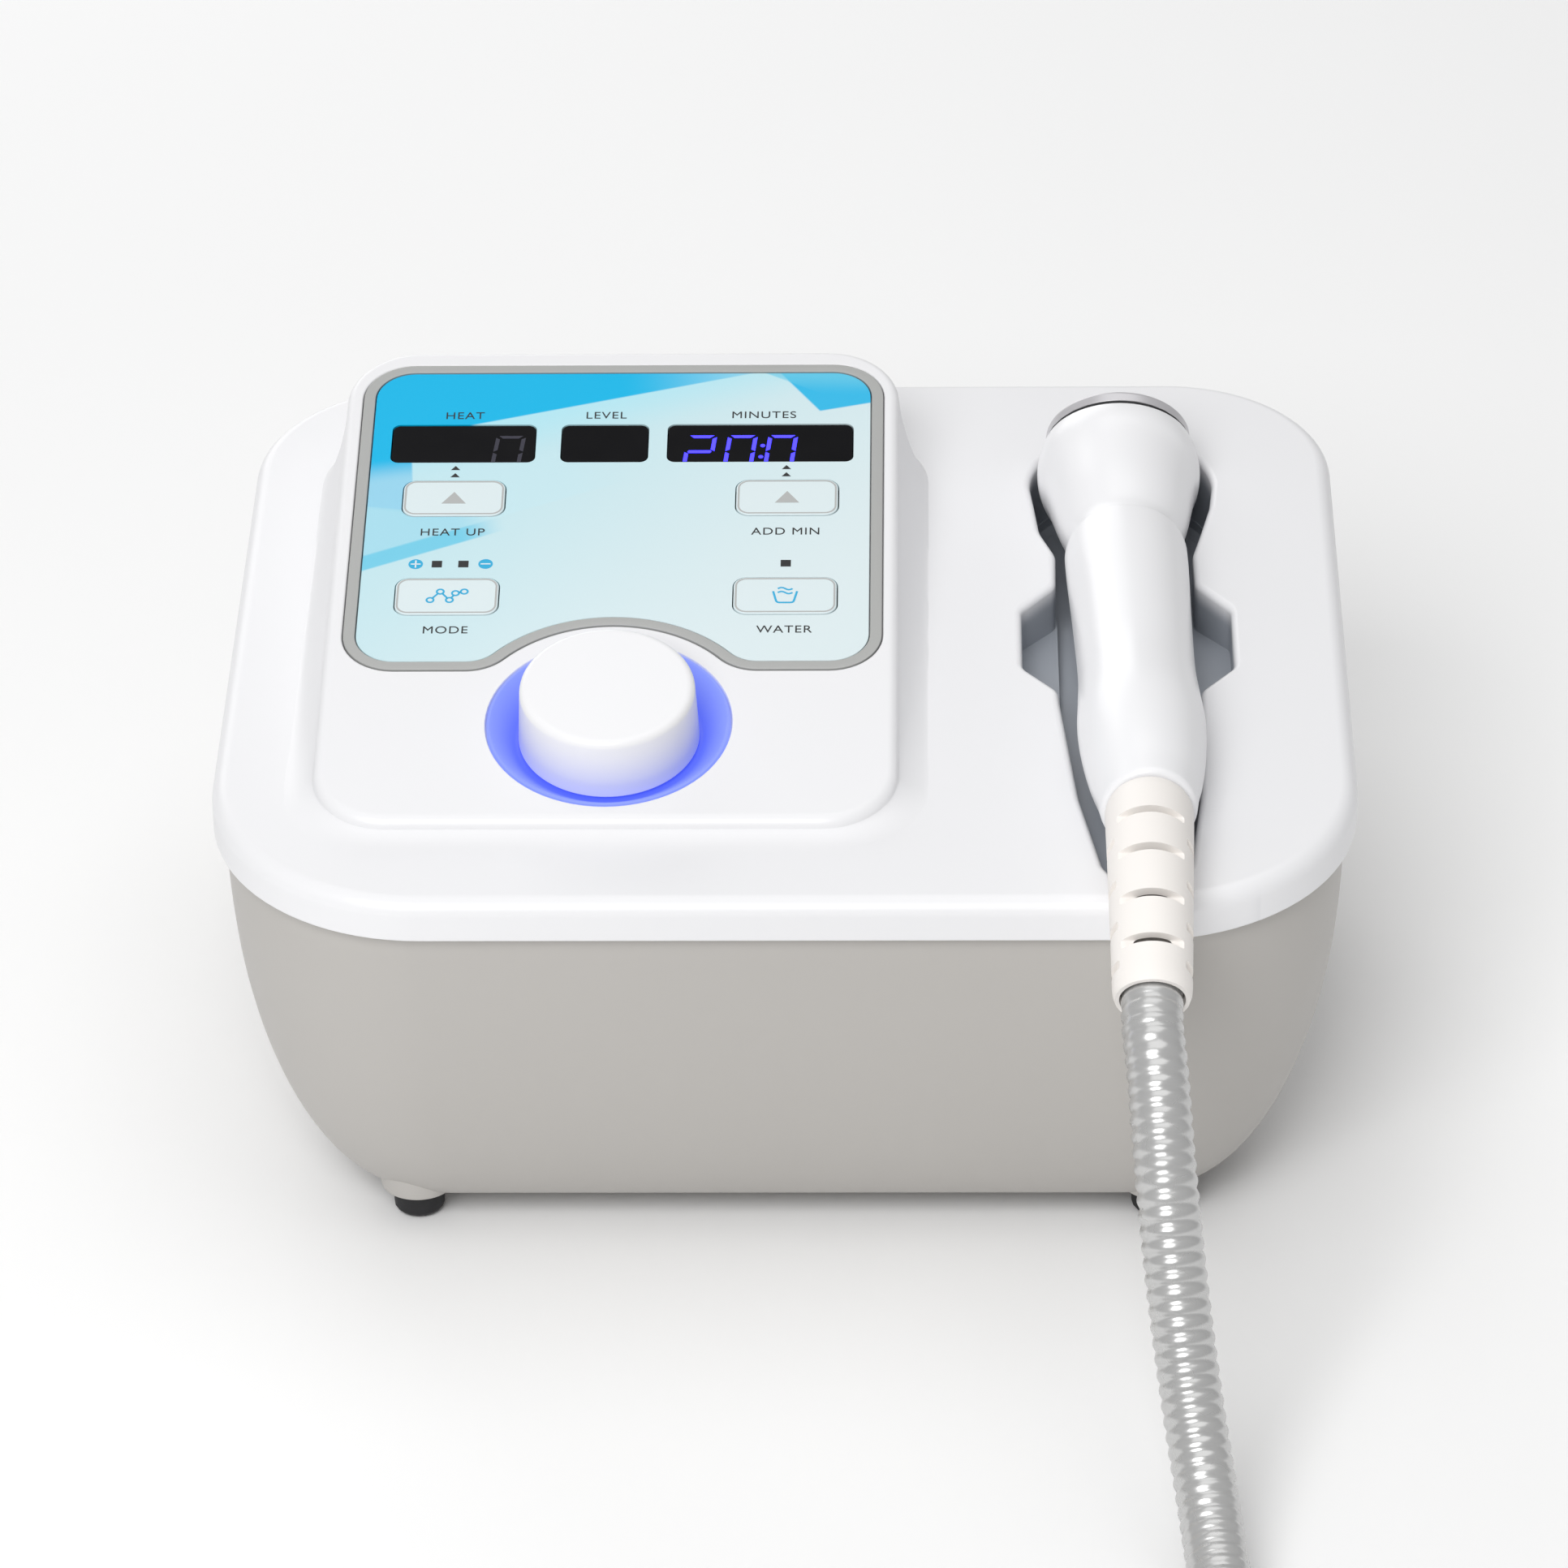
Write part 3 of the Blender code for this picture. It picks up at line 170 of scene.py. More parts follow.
# Studio: place in metres, size in metres and power in watts of each light
LIGHTS = {
    "key": ((-0.55, -1.85, 1.75), 1.3, 37.0), "top": ((0.1, 0.3, 2.6), 2.4, 18.5),
    "rear": ((-0.7, 1.9, 0.85), 1.3, 10.0),
}
LIT_POINT = Vector((0.0, -0.02, 0.1))
SKY_STRENGTH = 0.38
FLOOR_SIZE = 18000.0
CAMERA_PLACE = Vector((43.4, -1849.8, 1154.4))
CAMERA_AHEAD = Vector((-0.0212, 0.86577, -0.5))
CAMERA_RIGHT = Vector((0.99977, 0.01739, -0.01226))
CAMERA_LENS = 160.25


# ---- materials

class Nodes:
    """A short way to write a shader's node tree."""

    def __init__(self, name):
        self.material = bpy.data.materials.new(f"look_{name}")
        self.material.use_nodes = True
        self.tree = self.material.node_tree
        self.shader = self.tree.nodes["Principled BSDF"]

    def new(self, kind, settings=(), *values, **inputs):
        """A node with its settings and its inputs, by place or by name."""
        node = self.tree.nodes.new(kind)
        for key, value in dict(settings).items():
            setattr(node, key, value)
        for socket, value in [*enumerate(values), *inputs.items()]:
            self.set(node, socket, value)
        return node

    def set(self, node, socket, value):
        if isinstance(value, bpy.types.NodeSocket):
            self.tree.links.new(value, node.inputs[socket])
        else:
            node.inputs[socket].default_value = value

    def shade(self, **sockets):
        """Sets the shader's sockets, with _ for each space in a name."""
        for key, value in sockets.items():
            self.set(self.shader, key.replace("_", " "), value)

    def times(self, first, second):
        return self.new("ShaderNodeMath", {"operation": "MULTIPLY"}, first, second).outputs[0]

    def place(self):
        return self.new("ShaderNodeTexCoord").outputs["Object"]

    def noise(self, scale, detail=2.0):
        return self.new("ShaderNodeTexNoise", Vector=self.place(), Scale=scale, Detail=detail).outputs["Fac"]

    def spread(self, value, low, high, start=0.0, end=1.0, kind="LINEAR"):
        settings = {"interpolation_type": kind}
        return self.new("ShaderNodeMapRange", settings, value, start, end, low, high).outputs[0]

    def mix(self, share, first, second):
        node = self.new("ShaderNodeMix", {"data_type": "RGBA"})
        for socket, value in ((0, share), (6, first), (7, second)):
            self.set(node, socket, value)
        return node.outputs[2]

    def measure(self, operation, vector):
        """The distance to a point or along a direction."""
        node = self.new("ShaderNodeVectorMath", {"operation": operation}, self.place(), vector)
        return node.outputs["Value"]

    def along(self, direction, start, end):
        """0 to 1 between two distances along a direction, both in mm."""
        distance = self.measure("DOT_PRODUCT", direction)
        return self.spread(distance, 0.0, 1.0, start * MM, end * MM, "SMOOTHSTEP")

    def bump(self, height, strength, distance):
        bump = self.new("ShaderNodeBump", Strength=strength, Distance=distance * MM, Height=height)
        return bump.outputs["Normal"]


# A grain is a bump's scale, strength and depth in mm
SMOOTH, SATIN = (2200.0, 0.008, 0.01), (1800.0, 0.12, 0.012)
MIDDLE_NOISE = (0.3, 0.7)


def rgba(colour, factor=1.0):
    return (*(min(1.0, part * factor) for part in colour), 1.0)


def surface(name, colour, roughness, mottle=0.02, grain=SMOOTH, wear=0.05, **sockets):
    """A moulded or cast surface: slightly uneven colour and gloss over a fine grain."""
    nodes = Nodes(name)
    scale, strength, depth = grain
    nodes.shade(
        Base_Color=nodes.mix(nodes.noise(22.0, 3.0), rgba(colour, 1 - mottle), rgba(colour, 1 + mottle)),
        Roughness=nodes.spread(nodes.noise(60.0, 4.0), roughness - wear, roughness + wear, *MIDDLE_NOISE),
        Normal=nodes.bump(nodes.noise(scale), strength, depth),
        **sockets,
    )
    return nodes.material


def brushed(name, colour, roughness):
    """Metal with fine drawn lines along X."""
    nodes = Nodes(name)
    lines = nodes.new("ShaderNodeMapping", Vector=nodes.place(), Scale=(4.0, 400.0, 400.0))
    noise = nodes.new("ShaderNodeTexNoise", Vector=lines.outputs[0], Scale=6.0, Detail=3.0).outputs["Fac"]
    nodes.shade(
        Base_Color=nodes.mix(noise, rgba(colour, 0.92), rgba(colour, 1.06)),
        Roughness=nodes.spread(noise, roughness - 0.06, roughness + 0.08, *MIDDLE_NOISE),
        Metallic=1.0,
        Normal=nodes.bump(noise, 0.12, 0.05),
    )
    return nodes.material


def glowing(name, colour, light, strength, centre=None, reach=()):
    """A lit plastic. With a centre it turns paler from its inner reach to its outer one, in mm."""
    nodes = Nodes(name)
    cloud = nodes.noise(40.0, 2.0)
    if centre is None:
        tint = nodes.mix(cloud, rgba(light, 0.96), rgba(light))
    else:
        away = nodes.measure("DISTANCE", tuple(centre * MM))
        share = nodes.spread(away, 0.0, 1.0, reach[0] * MM, reach[1] * MM)
        tint = nodes.mix(share, rgba(light), rgba((0.22, 0.29, 0.80)))
    nodes.shade(
        Base_Color=nodes.mix(cloud, rgba(colour, 0.95), rgba(colour, 1.05)),
        Roughness=0.35,
        Emission_Color=tint,
        Emission_Strength=strength,
    )
    return nodes.material


def overlay_material():
    """Printed film: pale ground with flat cyan facets, each where a few straight edges meet."""
    nodes = Nodes("overlay")

    def beyond(x, v, towards, soft=0.3):
        """1 on one side of the edge through (x, v), the side that towards, in degrees, points to."""
        lean = math.radians(towards)
        rise = math.sin(lean)
        direction = (math.cos(lean), math.cos(CONSOLE_TILT) * rise, math.sin(CONSOLE_TILT) * rise)
        level = x * math.cos(lean) + (v + CONSOLE_HEIGHT * math.sin(CONSOLE_TILT)) * rise
        return nodes.along(direction, level - soft, level + soft)

    cyan, sky, pale = (0.0, 0.46, 0.78), (0.14, 0.58, 0.78), (0.55, 0.78, 0.84)
    ground = nodes.mix(beyond(-60.0, 20.0, -40.0, 85.0), rgba((0.50, 0.75, 0.81)), rgba((0.70, 0.80, 0.82)))
    for colour, share, *edges in (
        ((0.38, 0.77, 0.88), 0.6, (-70.0, 66.0, 110.0, 12.0)),
        (cyan, 1.0, (-90.0, 71.0, 106.0, 0.4), (-18.0, 88.0, 186.0, 36.0)),
        (cyan, 1.0, (-115.0, 40.0, 184.0, 0.4), (-120.0, 28.0, 82.0, 0.4)),
        (sky, 0.9, (-96.0, 30.0, 197.0, 8.0), (-120.0, 4.0, 114.0, 0.5), (-120.0, 29.0, -98.0, 0.5)),
        (pale, 0.55, (-58.0, 40.0, 205.0, 14.0), (-95.0, 22.0, 114.0, 0.6), (-95.0, 52.0, -80.0, 6.0)),
        (cyan, 0.95, (3.0, 84.0, 34.0, 0.4), (3.0, 73.5, 104.0, 0.4)),
        (sky, 0.75, (-2.0, 90.0, 60.0, 0.4), (0.0, 88.0, 88.0, 5.0)),
    ):
        for edge in edges:
            share = nodes.times(share, beyond(*edge))
        ground = nodes.mix(share, ground, rgba(colour))
    nodes.shade(
        Base_Color=ground,
        Roughness=nodes.spread(nodes.noise(45.0), 0.29, 0.31, *MIDDLE_NOISE),
        Specular_IOR_Level=0.22,
        Normal=nodes.bump(nodes.noise(1100.0), 0.05, 0.01),
    )
    return nodes.material


def shell_material(colour, roughness, painted_shade):
    """The lid's moulding, with painted shade that turns it slate grey down inside the cradle."""
    nodes = Nodes("shell")
    up, across, back = (0.0, -math.tan(LID_TILT), 1.0), (1.0, 0.0, 0.0), (0.0, 1.0, 0.0)
    share = 1.0
    # Each edge of the cradle: its direction, where the painted shade starts and where it is full
    for direction, outer, inner in (
        (up, LID_MIDDLE + LIP_HALF - 1.0, LID_MIDDLE - 1.0),
        (across, CRADLE_X - NOTCH_HALF - 4, CRADLE_X - NOTCH_HALF - 3),
        (across, CRADLE_X + NOTCH_HALF + 4, CRADLE_X + NOTCH_HALF + 3),
        (back, -134.0, -122.0),
        (back, HEAD.y + WELL_RADIUS + 4, HEAD.y + WELL_RADIUS + 3),
    ):
        share = nodes.times(share, nodes.along(direction, outer, inner))
    white = nodes.mix(nodes.noise(22.0, 3.0), rgba(colour, 0.996), rgba(colour, 1.004))
    # Painted shade: the base colour runs from the white to the slate grey inside the cradle
    nodes.shade(
        Base_Color=nodes.mix(share, white, rgba(painted_shade)),
        Roughness=nodes.spread(nodes.noise(60.0), roughness - 0.01, roughness + 0.01, *MIDDLE_NOISE),
    )
    return nodes.material


def make_looks():
    """Every look by its name."""
    white = (0.83, 0.83, 0.845)
    ring_centre = KNOB @ Vector((0.0, 0.0, -4.0))
    moulded = {
        "white_abs": (white, 0.34, dict(mottle=0.004, wear=0.006)),
        "handset_white": ((0.87, 0.87, 0.885), 0.28, dict(mottle=0.004, wear=0.004)),
        "grey_abs": ((0.48, 0.462, 0.438), 0.42, dict(mottle=0.008, grain=SATIN, wear=0.02)),
        "silver_trim": ((0.43, 0.435, 0.425), 0.36, dict(Metallic=0.3, wear=0.02)),
        "window": ((0.004, 0.004, 0.005), 0.16, dict(mottle=0.2, wear=0.03, Specular_IOR_Level=0.1)),
        "key": ((0.70, 0.80, 0.82), 0.3, dict(mottle=0.004, wear=0.01)),
        "digit_unlit": ((0.013, 0.012, 0.03), 0.4, dict(mottle=0.1)),
        "rubber": ((0.012, 0.012, 0.014), 0.62, dict(mottle=0.1, grain=(700.0, 0.3, 0.05))),
        "plate": ((0.60, 0.59, 0.61), 0.36, dict(Metallic=0.45)),
        "relief_white": ((0.90, 0.865, 0.83), 0.5, dict(mottle=0.01, grain=(500.0, 0.2, 0.03))),
        "hose": ((0.58, 0.58, 0.575), 0.27, dict(Metallic=0.55, wear=0.03)),
        "black_plastic": ((0.018, 0.018, 0.020), 0.42, dict(mottle=0.1)),
        "circuit_board": ((0.02, 0.13, 0.06), 0.4, dict(mottle=0.15, grain=(90.0, 0.2, 0.2))),
        "clear_tank": ((0.70, 0.80, 0.86), 0.2, dict(Transmission_Weight=0.6)),
        "tube": ((0.75, 0.78, 0.78), 0.3, dict(Transmission_Weight=0.4)),
        "print_black": ((0.006, 0.006, 0.007), 0.35, dict(mottle=0.2)),
        "print_grey": ((0.44, 0.45, 0.445), 0.35, {}),
        "print_cyan": ((0.012, 0.40, 0.68), 0.35, dict(mottle=0.03)),
        "print_white": ((0.82, 0.84, 0.84), 0.4, {}),
        "brass": ((0.62, 0.45, 0.2), 0.3, dict(Metallic=1.0)),
    }
    looks = {}
    for name, (colour, roughness, more) in moulded.items():
        looks[name] = surface(name, colour, roughness, **more)
    return looks | {
        # The shell's third colour is the painted shade down inside the cradle
        "shell": shell_material(white, 0.34, (0.36, 0.385, 0.425)),
        "overlay": overlay_material(),
        "blue_light": glowing("ring", (0.07, 0.09, 0.3), (0.05, 0.085, 0.72), 0.9, ring_centre, (27, 36)),
        "digit_light": glowing("digits", (0.02, 0.02, 0.3), (0.03, 0.02, 1.0), 3.0),
        "steel": brushed("steel", (0.62, 0.62, 0.63), 0.3),
        "aluminium": brushed("aluminium", (0.70, 0.71, 0.73), 0.34),
    }


# ---- shapes

def arc(x, y, radius, start, end, steps):
    """Points of a circle from one angle to another, in degrees."""
    angles = [math.radians(start + (end - start) * k / steps) for k in range(steps + 1)]
    return [(x + radius * math.cos(a), y + radius * math.sin(a)) for a in angles]


def rounded_rectangle(left, right, front, back, radius, steps=8, rear=None):
    rear = rear or radius
    return (
        arc(right - rear, back - rear, rear, 0, 90, steps)
        + arc(left + rear, back - rear, rear, 90, 180, steps)
        + arc(left + radius, front + radius, radius, 180, 270, steps)
        + arc(right - radius, front + radius, radius, 270, 360, steps)
    )


def rounded_plate(x, v, width, height, radius, inset=0.0):
    half_x, half_v = width / 2 - inset, height / 2 - inset
    return rounded_rectangle(x - half_x, x + half_x, v - half_v, v + half_v, max(0.2, radius - inset))


def round_corners(points, radii, steps=5, closed=True):
    """Rounds the corners of an outline; radii is one number, or one for each point."""
    made = []
    for k, point in enumerate(points):
        corner = Vector(point)
        radius = radii[k] if isinstance(radii, (list, tuple)) else radii
        if radius <= 0 or (not closed and k in (0, len(points) - 1)):
            made.append(tuple(corner))
            continue
        before = Vector(points[k - 1]) - corner
        after = Vector(points[(k + 1) % len(points)]) - corner
        reach = min(radius / math.tan(before.angle(after) / 2), 0.49 * before.length, 0.49 * after.length)
        start, end = corner + before.normalized() * reach, corner + after.normalized() * reach
        for n in range(steps + 1):
            t = n / steps
            made.append(tuple((1 - t) ** 2 * start + 2 * t * (1 - t) * corner + t * t * end))
    return made


def widened(points, grow):
    """A counter-clockwise outline moved outward."""
    made = []
    for k, point in enumerate(points):
        along = Vector(points[(k + 1) % len(points)]) - Vector(points[k - 1])
        out = Vector((along.y, -along.x)).normalized()
        made.append(tuple(Vector(point) + out * grow))
    return made


def loft(rings, ring_shape=False, bm=None):
    """Skins rings of equal length, listed from top to bottom and counter-clockwise seen from above."""
    bm = bm or bmesh.new()
    made = [[bm.verts.new(point) for point in ring] for ring in rings]
    for upper, lower in zip(made, made[1:] + made[:ring_shape]):
        for k, corner in enumerate(upper):
            after = (k + 1) % len(upper)
            bm.faces.new((corner, lower[k], lower[after], upper[after]))
    if not ring_shape:
        bm.faces.new(made[-1][::-1])
        bm.faces.new(made[0])
    return bm


def outward(bm):
    bmesh.ops.recalc_face_normals(bm, faces=bm.faces)
    return bm


def levels(outline, *heights):
    """The same outline at several heights, for loft."""
    return [[(x, y, height) for x, y in outline] for height in heights]


def prism(outline, low, high, bm=None):
    return loft(levels(outline, high, low), bm=bm)


def band(outer, inner, low, high, bm=None):
    """A flat ring between two outlines."""
    return loft(levels(outer, low, high) + levels(inner, high, low), True, bm)


def quarter(steps):
    """The sine and one less the cosine of the angles from 0 to 90 degrees, for a rounding."""
    angles = [math.pi / 2 * k / steps for k in range(steps + 1)]
    return [(math.sin(a), 1 - math.cos(a)) for a in angles]


def pad(outline, low, high, edge, steps=3):
    """A plate with a rounded upper edge. outline is a function of the inset."""
    rings = []
    for across, down in quarter(steps):
        rings += levels(outline(edge * (1 - across)), high - edge * down)
    rings += levels(outline(0.0), low)
    return loft(rings)


def mouth(outline, floor, level, flare, top, steps=6):
    """A cutter whose mouth rounds outward where it meets the surface. level gives the surface's height."""
    rings = levels(widened(outline, flare), top)
    for across, down in quarter(steps):
        grown = widened(outline, flare * (1 - across))
        rings.append([(x, y, level(x, y) - flare * down) for x, y in grown])
    return loft(rings + levels(outline, floor))


def block(x, y, z):
    bm = bmesh.new()
    bmesh.ops.create_cube(bm, size=1.0)
    bmesh.ops.scale(bm, vec=(x[1] - x[0], y[1] - y[0], z[1] - z[0]), verts=bm.verts)
    bmesh.ops.translate(bm, vec=(sum(x) / 2, sum(y) / 2, sum(z) / 2), verts=bm.verts)
    return bm


def lathe(profile, steps=72, closed=False):
    """Turns a profile of (radius, height) about Z; closed joins its ends, for a ring."""
    bm = bmesh.new()
    rings = []
    for radius, height in profile:
        count = steps if radius > 1e-6 else 1
        turns = [2 * math.pi * k / steps for k in range(count)]
        rings.append([bm.verts.new((radius * math.cos(a), radius * math.sin(a), height)) for a in turns])
    pairs = list(zip(rings, rings[1:]))
    if closed:
        pairs.append((rings[-1], rings[0]))
    for upper, lower in pairs:
        for k in range(steps):
            n = (k + 1) % steps
            places = (upper, k), (lower, k), (lower, n), (upper, n)
            unique = list(dict.fromkeys(ring[turn % len(ring)] for ring, turn in places))
            if len(unique) > 2:
                bm.faces.new(unique)
    return outward(bm)


def smooth_path(route, count=None, pitch=None):
    """Evenly spaced points on the Catmull-Rom curve through the route."""
    knots = [Vector(point) for point in route]
    knots = [2 * knots[0] - knots[1]] + knots + [2 * knots[-1] - knots[-2]]
    fine, pieces = [], 24
    for a, b, c, d in zip(knots, knots[1:], knots[2:], knots[3:]):
        for k in range(pieces):
            t = k / pieces
            fine.append(0.5 * ((2 * b) + (c - a) * t + (2 * a - 5 * b + 4 * c - d) * t * t
                               + (3 * b - a - 3 * c + d) * t ** 3))
    fine.append(knots[-2])
    travelled = [0.0]
    for first, second in zip(fine, fine[1:]):
        travelled.append(travelled[-1] + (second - first).length)
    count = count or round(travelled[-1] / pitch) + 1
    points, k = [], 0
    for n in range(count):
        wanted = travelled[-1] * n / (count - 1)
        while k < len(fine) - 2 and travelled[k + 1] < wanted:
            k += 1
        share = (wanted - travelled[k]) / (travelled[k + 1] - travelled[k])
        points.append(fine[k].lerp(fine[k + 1], min(1.0, share)))
    return points


def sweep(path, radii, sides, inner=()):
    """A tube along the path. With inner radii it is open at its far end, down to the path's start."""
    ahead = [(b - a).normalized() for a, b in zip(path[:1] + path, path[1:] + path[-1:])]
    side = Vector((1, 0, 0))
    frames = []
    for direction in ahead:
        side = (side - direction * side.dot(direction)).normalized()
        frames.append((side, direction.cross(side)))

    def ring(k, radius):
        across, up = frames[k]
        turns = [2 * math.pi * n / sides for n in range(sides)]
        return [path[k] + (across * math.cos(a) + up * math.sin(a)) * radius for a in turns]

    rings = [ring(k, radius) for k, radius in enumerate(radii)]
    rings += [ring(k, inner[k]) for k in reversed(range(len(inner)))]
    return outward(loft(rings))


# ---- pieces

def added(name, data):
    """A new object in the scene."""
    obj = bpy.data.objects.new(name, data)
    bpy.context.scene.collection.objects.link(obj)
    return obj


def in_metres(matrix):
    placed = matrix.copy()
    placed.translation = placed.translation * MM
    return placed


def raw(name, bm, matrix=None):
    """An object of the bmesh, in metres and placed by the matrix."""
    bmesh.ops.scale(bm, vec=(MM, MM, MM), verts=bm.verts)
    mesh = bpy.data.meshes.new(name)
    bm.to_mesh(mesh)
    bm.free()
    obj = added(name, mesh)
    if matrix is not None:
        obj.matrix_world = in_metres(matrix)
    return obj


def combine(obj, operation, *others):
    for other in others:
        modifier = obj.modifiers.new(operation.lower(), "BOOLEAN")
        modifier.operation = operation
        modifier.object = other
        modifier.solver = "EXACT"
    return obj


def cut(obj, *others):
    return combine(obj, "DIFFERENCE", *others)


def join(obj, *others):
    return combine(obj, "UNION", *others)


def ease(obj, width, segments=2, angle=30.0):
    modifier = obj.modifiers.new("rounded_edges", "BEVEL")
    modifier.width = width * MM
    modifier.segments = segments
    modifier.limit_method = "ANGLE"
    modifier.angle_limit = math.radians(angle)
    return obj


def settle(obj):
    """Applies the modifiers and the placement and removes the cutters, leaving a plain mesh."""
    bpy.context.view_layer.update()
    graph = bpy.context.evaluated_depsgraph_get()
    mesh = bpy.data.meshes.new_from_object(obj.evaluated_get(graph), depsgraph=graph)
    mesh.transform(obj.matrix_world)
    cutters = [modifier.object for modifier in obj.modifiers if modifier.type == "BOOLEAN"]
    name = obj.name
    bpy.data.objects.remove(obj)
    for cutter in cutters:
        bpy.data.objects.remove(cutter)
    return added(name, mesh)


def show(obj, look, body, replaces=(), angle=32.0, soft=True):
    """Finishes a piece: its material, shading, the body it rides on and the nodes it stands for."""
    obj = settle(obj)
    obj.data.materials.clear()
    obj.data.materials.append(LOOKS[look])
    if soft:
        obj.data.shade_smooth()
        obj.data.set_sharp_from_angle(angle=math.radians(angle))
        weighted = obj.modifiers.new("weighted_normals", "WEIGHTED_NORMAL")
        weighted.keep_sharp = True
    if body:
        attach(obj, body)
    if replaces:
        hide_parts(*replaces)
    return obj


def eased_copy(node, look, width, segments=2):
    """Stands for a CAD node with the same shape and rounded edges."""
    solid = frame["nodes"][node]
    bm = bmesh.new()
    bm.from_mesh(solid.data)
    bmesh.ops.scale(bm, vec=(1 / MM, 1 / MM, 1 / MM), verts=bm.verts)
    bmesh.ops.remove_doubles(bm, verts=bm.verts, dist=0.004)
    bmesh.ops.dissolve_limit(bm, angle_limit=math.radians(1.0), verts=bm.verts, edges=bm.edges)
    obj = ease(raw(f"{node}_look", bm), width, segments)
    show(obj, look, solid["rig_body"], [node])


# ---- frames of reference

def lid_middle(y):
    return LID_MIDDLE + y * math.tan(LID_TILT)


def lid_top(y):
    return lid_middle(y) + LIP_HALF


def console_plane(y):
    return CONSOLE_HEIGHT + y * math.tan(CONSOLE_TILT)


CONSOLE = Matrix.Translation((0, 0, CONSOLE_HEIGHT)) @ Matrix.Rotation(CONSOLE_TILT, 4, "X")
KNOB = CONSOLE @ Matrix.Translation((KNOB_X, KNOB_V, 0))
PLATE = Matrix.Translation(HEAD) @ Matrix.Rotation(PLATE_TILT - math.pi / 2, 4, "X")
ALONG_X = Matrix.Rotation(math.pi / 2, 4, "Z") @ Matrix.Rotation(math.pi / 2, 4, "X")


def axes(x, y, z):
    return Matrix((x, y, z)).transposed().to_4x4()


def frame_along(point, z):
    """A frame at the point, its Z along the given direction and its Y roughly up."""
    x = Vector((0, 0, 1)).cross(z).normalized()
    return Matrix.Translation(point) @ axes(x, z.cross(x), z)


# Z along the handle, from the head's centre towards the tail
HANDPIECE = frame_along(HEAD, (TAIL - HEAD).normalized())


# ---- case

def case_outline(inset_x, inset_y, front, rear):
    half_x, half_y = CASE_WIDTH / 2 - inset_x, CASE_DEPTH / 2 - inset_y
    return rounded_rectangle(-half_x, half_x, -half_y, half_y, front, 22, rear)


def lid_ring(inset, height):
    outline = case_outline(inset, inset, FRONT_RADIUS - inset, REAR_RADIUS - inset)
    return [(x, y, lid_middle(y) + height) for x, y in outline]


def lip_rings():
    """From the lid's edge over the lip's large rounding to its small lower one."""
    wide, tall, small = 4.8, 5.0, 1.0
    upper = [lid_ring(wide * inward, LIP_HALF - tall * (1 - rise)) for rise, inward in reversed(quarter(10))]
    return upper + [lid_ring(small * inward, -LIP_HALF + small * (1 - fall)) for fall, inward in quarter(3)]


def tub_ring(step, wall=0.0, lift=0.0):
    """One level of the tub, 0 at its rim and 1 at its bottom; wall moves it inward."""
    taper = 1 - (1 - step ** TUB_CURVE) ** (1 / TUB_ROUNDNESS)
    front, rear = ((1 - taper) * (radius - TUB_INSET) + taper * TUB_BOTTOM_RADIUS - wall
                   for radius in (FRONT_RADIUS, REAR_RADIUS))
    inset = TUB_INSET + wall
    outline = case_outline(inset + TUB_TAPER_X * taper, inset + TUB_TAPER_Y * taper, front, rear)
    bottom = TUB_BOTTOM + wall
    return [(x, y, (1 - step) * (lid_middle(y) - 0.8) + step * bottom + lift) for x, y in outline]


def build_tub():
    steps = [math.sin(math.pi / 2 * k / TUB_LEVELS) for k in range(TUB_LEVELS)] + [1.0]
    tub = raw("tub_shell", loft([tub_ring(step) for step in steps]))
    boss = [(0.0, BOSS_TOP), (BOSS_RADIUS, BOSS_TOP), (BOSS_RADIUS, BOSS_BOTTOM + 1.0),
            (BOSS_RADIUS - 0.3, BOSS_BOTTOM + 0.3), (BOSS_RADIUS - 1.0, BOSS_BOTTOM), (0.0, BOSS_BOTTOM)]
    join(tub, *(raw("boss", lathe(boss, 48), place) for place in FOOT_PLACES))
    inner, outer = LAND_Y
    side = [(inner, LAND_FOOT), (outer, LAND_Z[0]), (outer, LAND_Z[1]), (inner, LAND_Z[1])]
    land = raw("land", prism(round_corners(side, [0, 3.0, 3.0, 0]), -LAND_X, LAND_X), ALONG_X)
    ease(land, 1.6, 3, 50)
    join(tub, land)
    inside = loft([tub_ring(0.0, WALL, 8.0)] + [tub_ring(step, WALL) for step in steps[::3]])
    cut(tub, raw("inside", inside))
    for name, margin, start in (("opening", 7, 100), ("recess", 2.7, PLATE_FACE - 2.3)):
        wide, tall = (-LAND_X + margin, LAND_X - margin), (LAND_Z[0] + margin, LAND_Z[1] - margin)
        cut(tub, raw(name, block(wide, (start, 145), tall)))
    hole = [(0.0, 24.0), (1.9, 24.0), (1.9, 0.0), (0.0, 0.0)]
    cut(tub, *(raw("screw_hole", lathe(hole, 20), place) for place in FOOT_PLACES))
    show(tub, "grey_abs", "unit", ["base_tub"])


def divided(outline, count):
    """Puts more points on the four straight sides of a rounded rectangle, the same number at every inset."""
    corner = len(outline) // 4
    made = []
    for k, point in enumerate(outline):
        made.append(point)
        if (k + 1) % corner == 0:
            after = Vector(outline[(k + 1) % len(outline)])
            made += [tuple(Vector(point).lerp(after, n / count)) for n in range(1, count)]
    return made


def console_outline(grow):
    outline = rounded_rectangle(CONSOLE_X[0] - grow, CONSOLE_X[1] + grow, CONSOLE_Y[0] - grow,
                                CONSOLE_Y[1] + grow, max(4.0, CONSOLE_RADIUS + grow), 14)
    return divided(outline, 16)


def console_ring(grow, share, drop):
    """A level of the console wedge: share 0 lies on the lid, share 1 on the console's plane."""
    outline = console_outline(grow)
    return [(x, y, (1 - share) * lid_top(y) + share * console_plane(y) - drop) for x, y in outline]


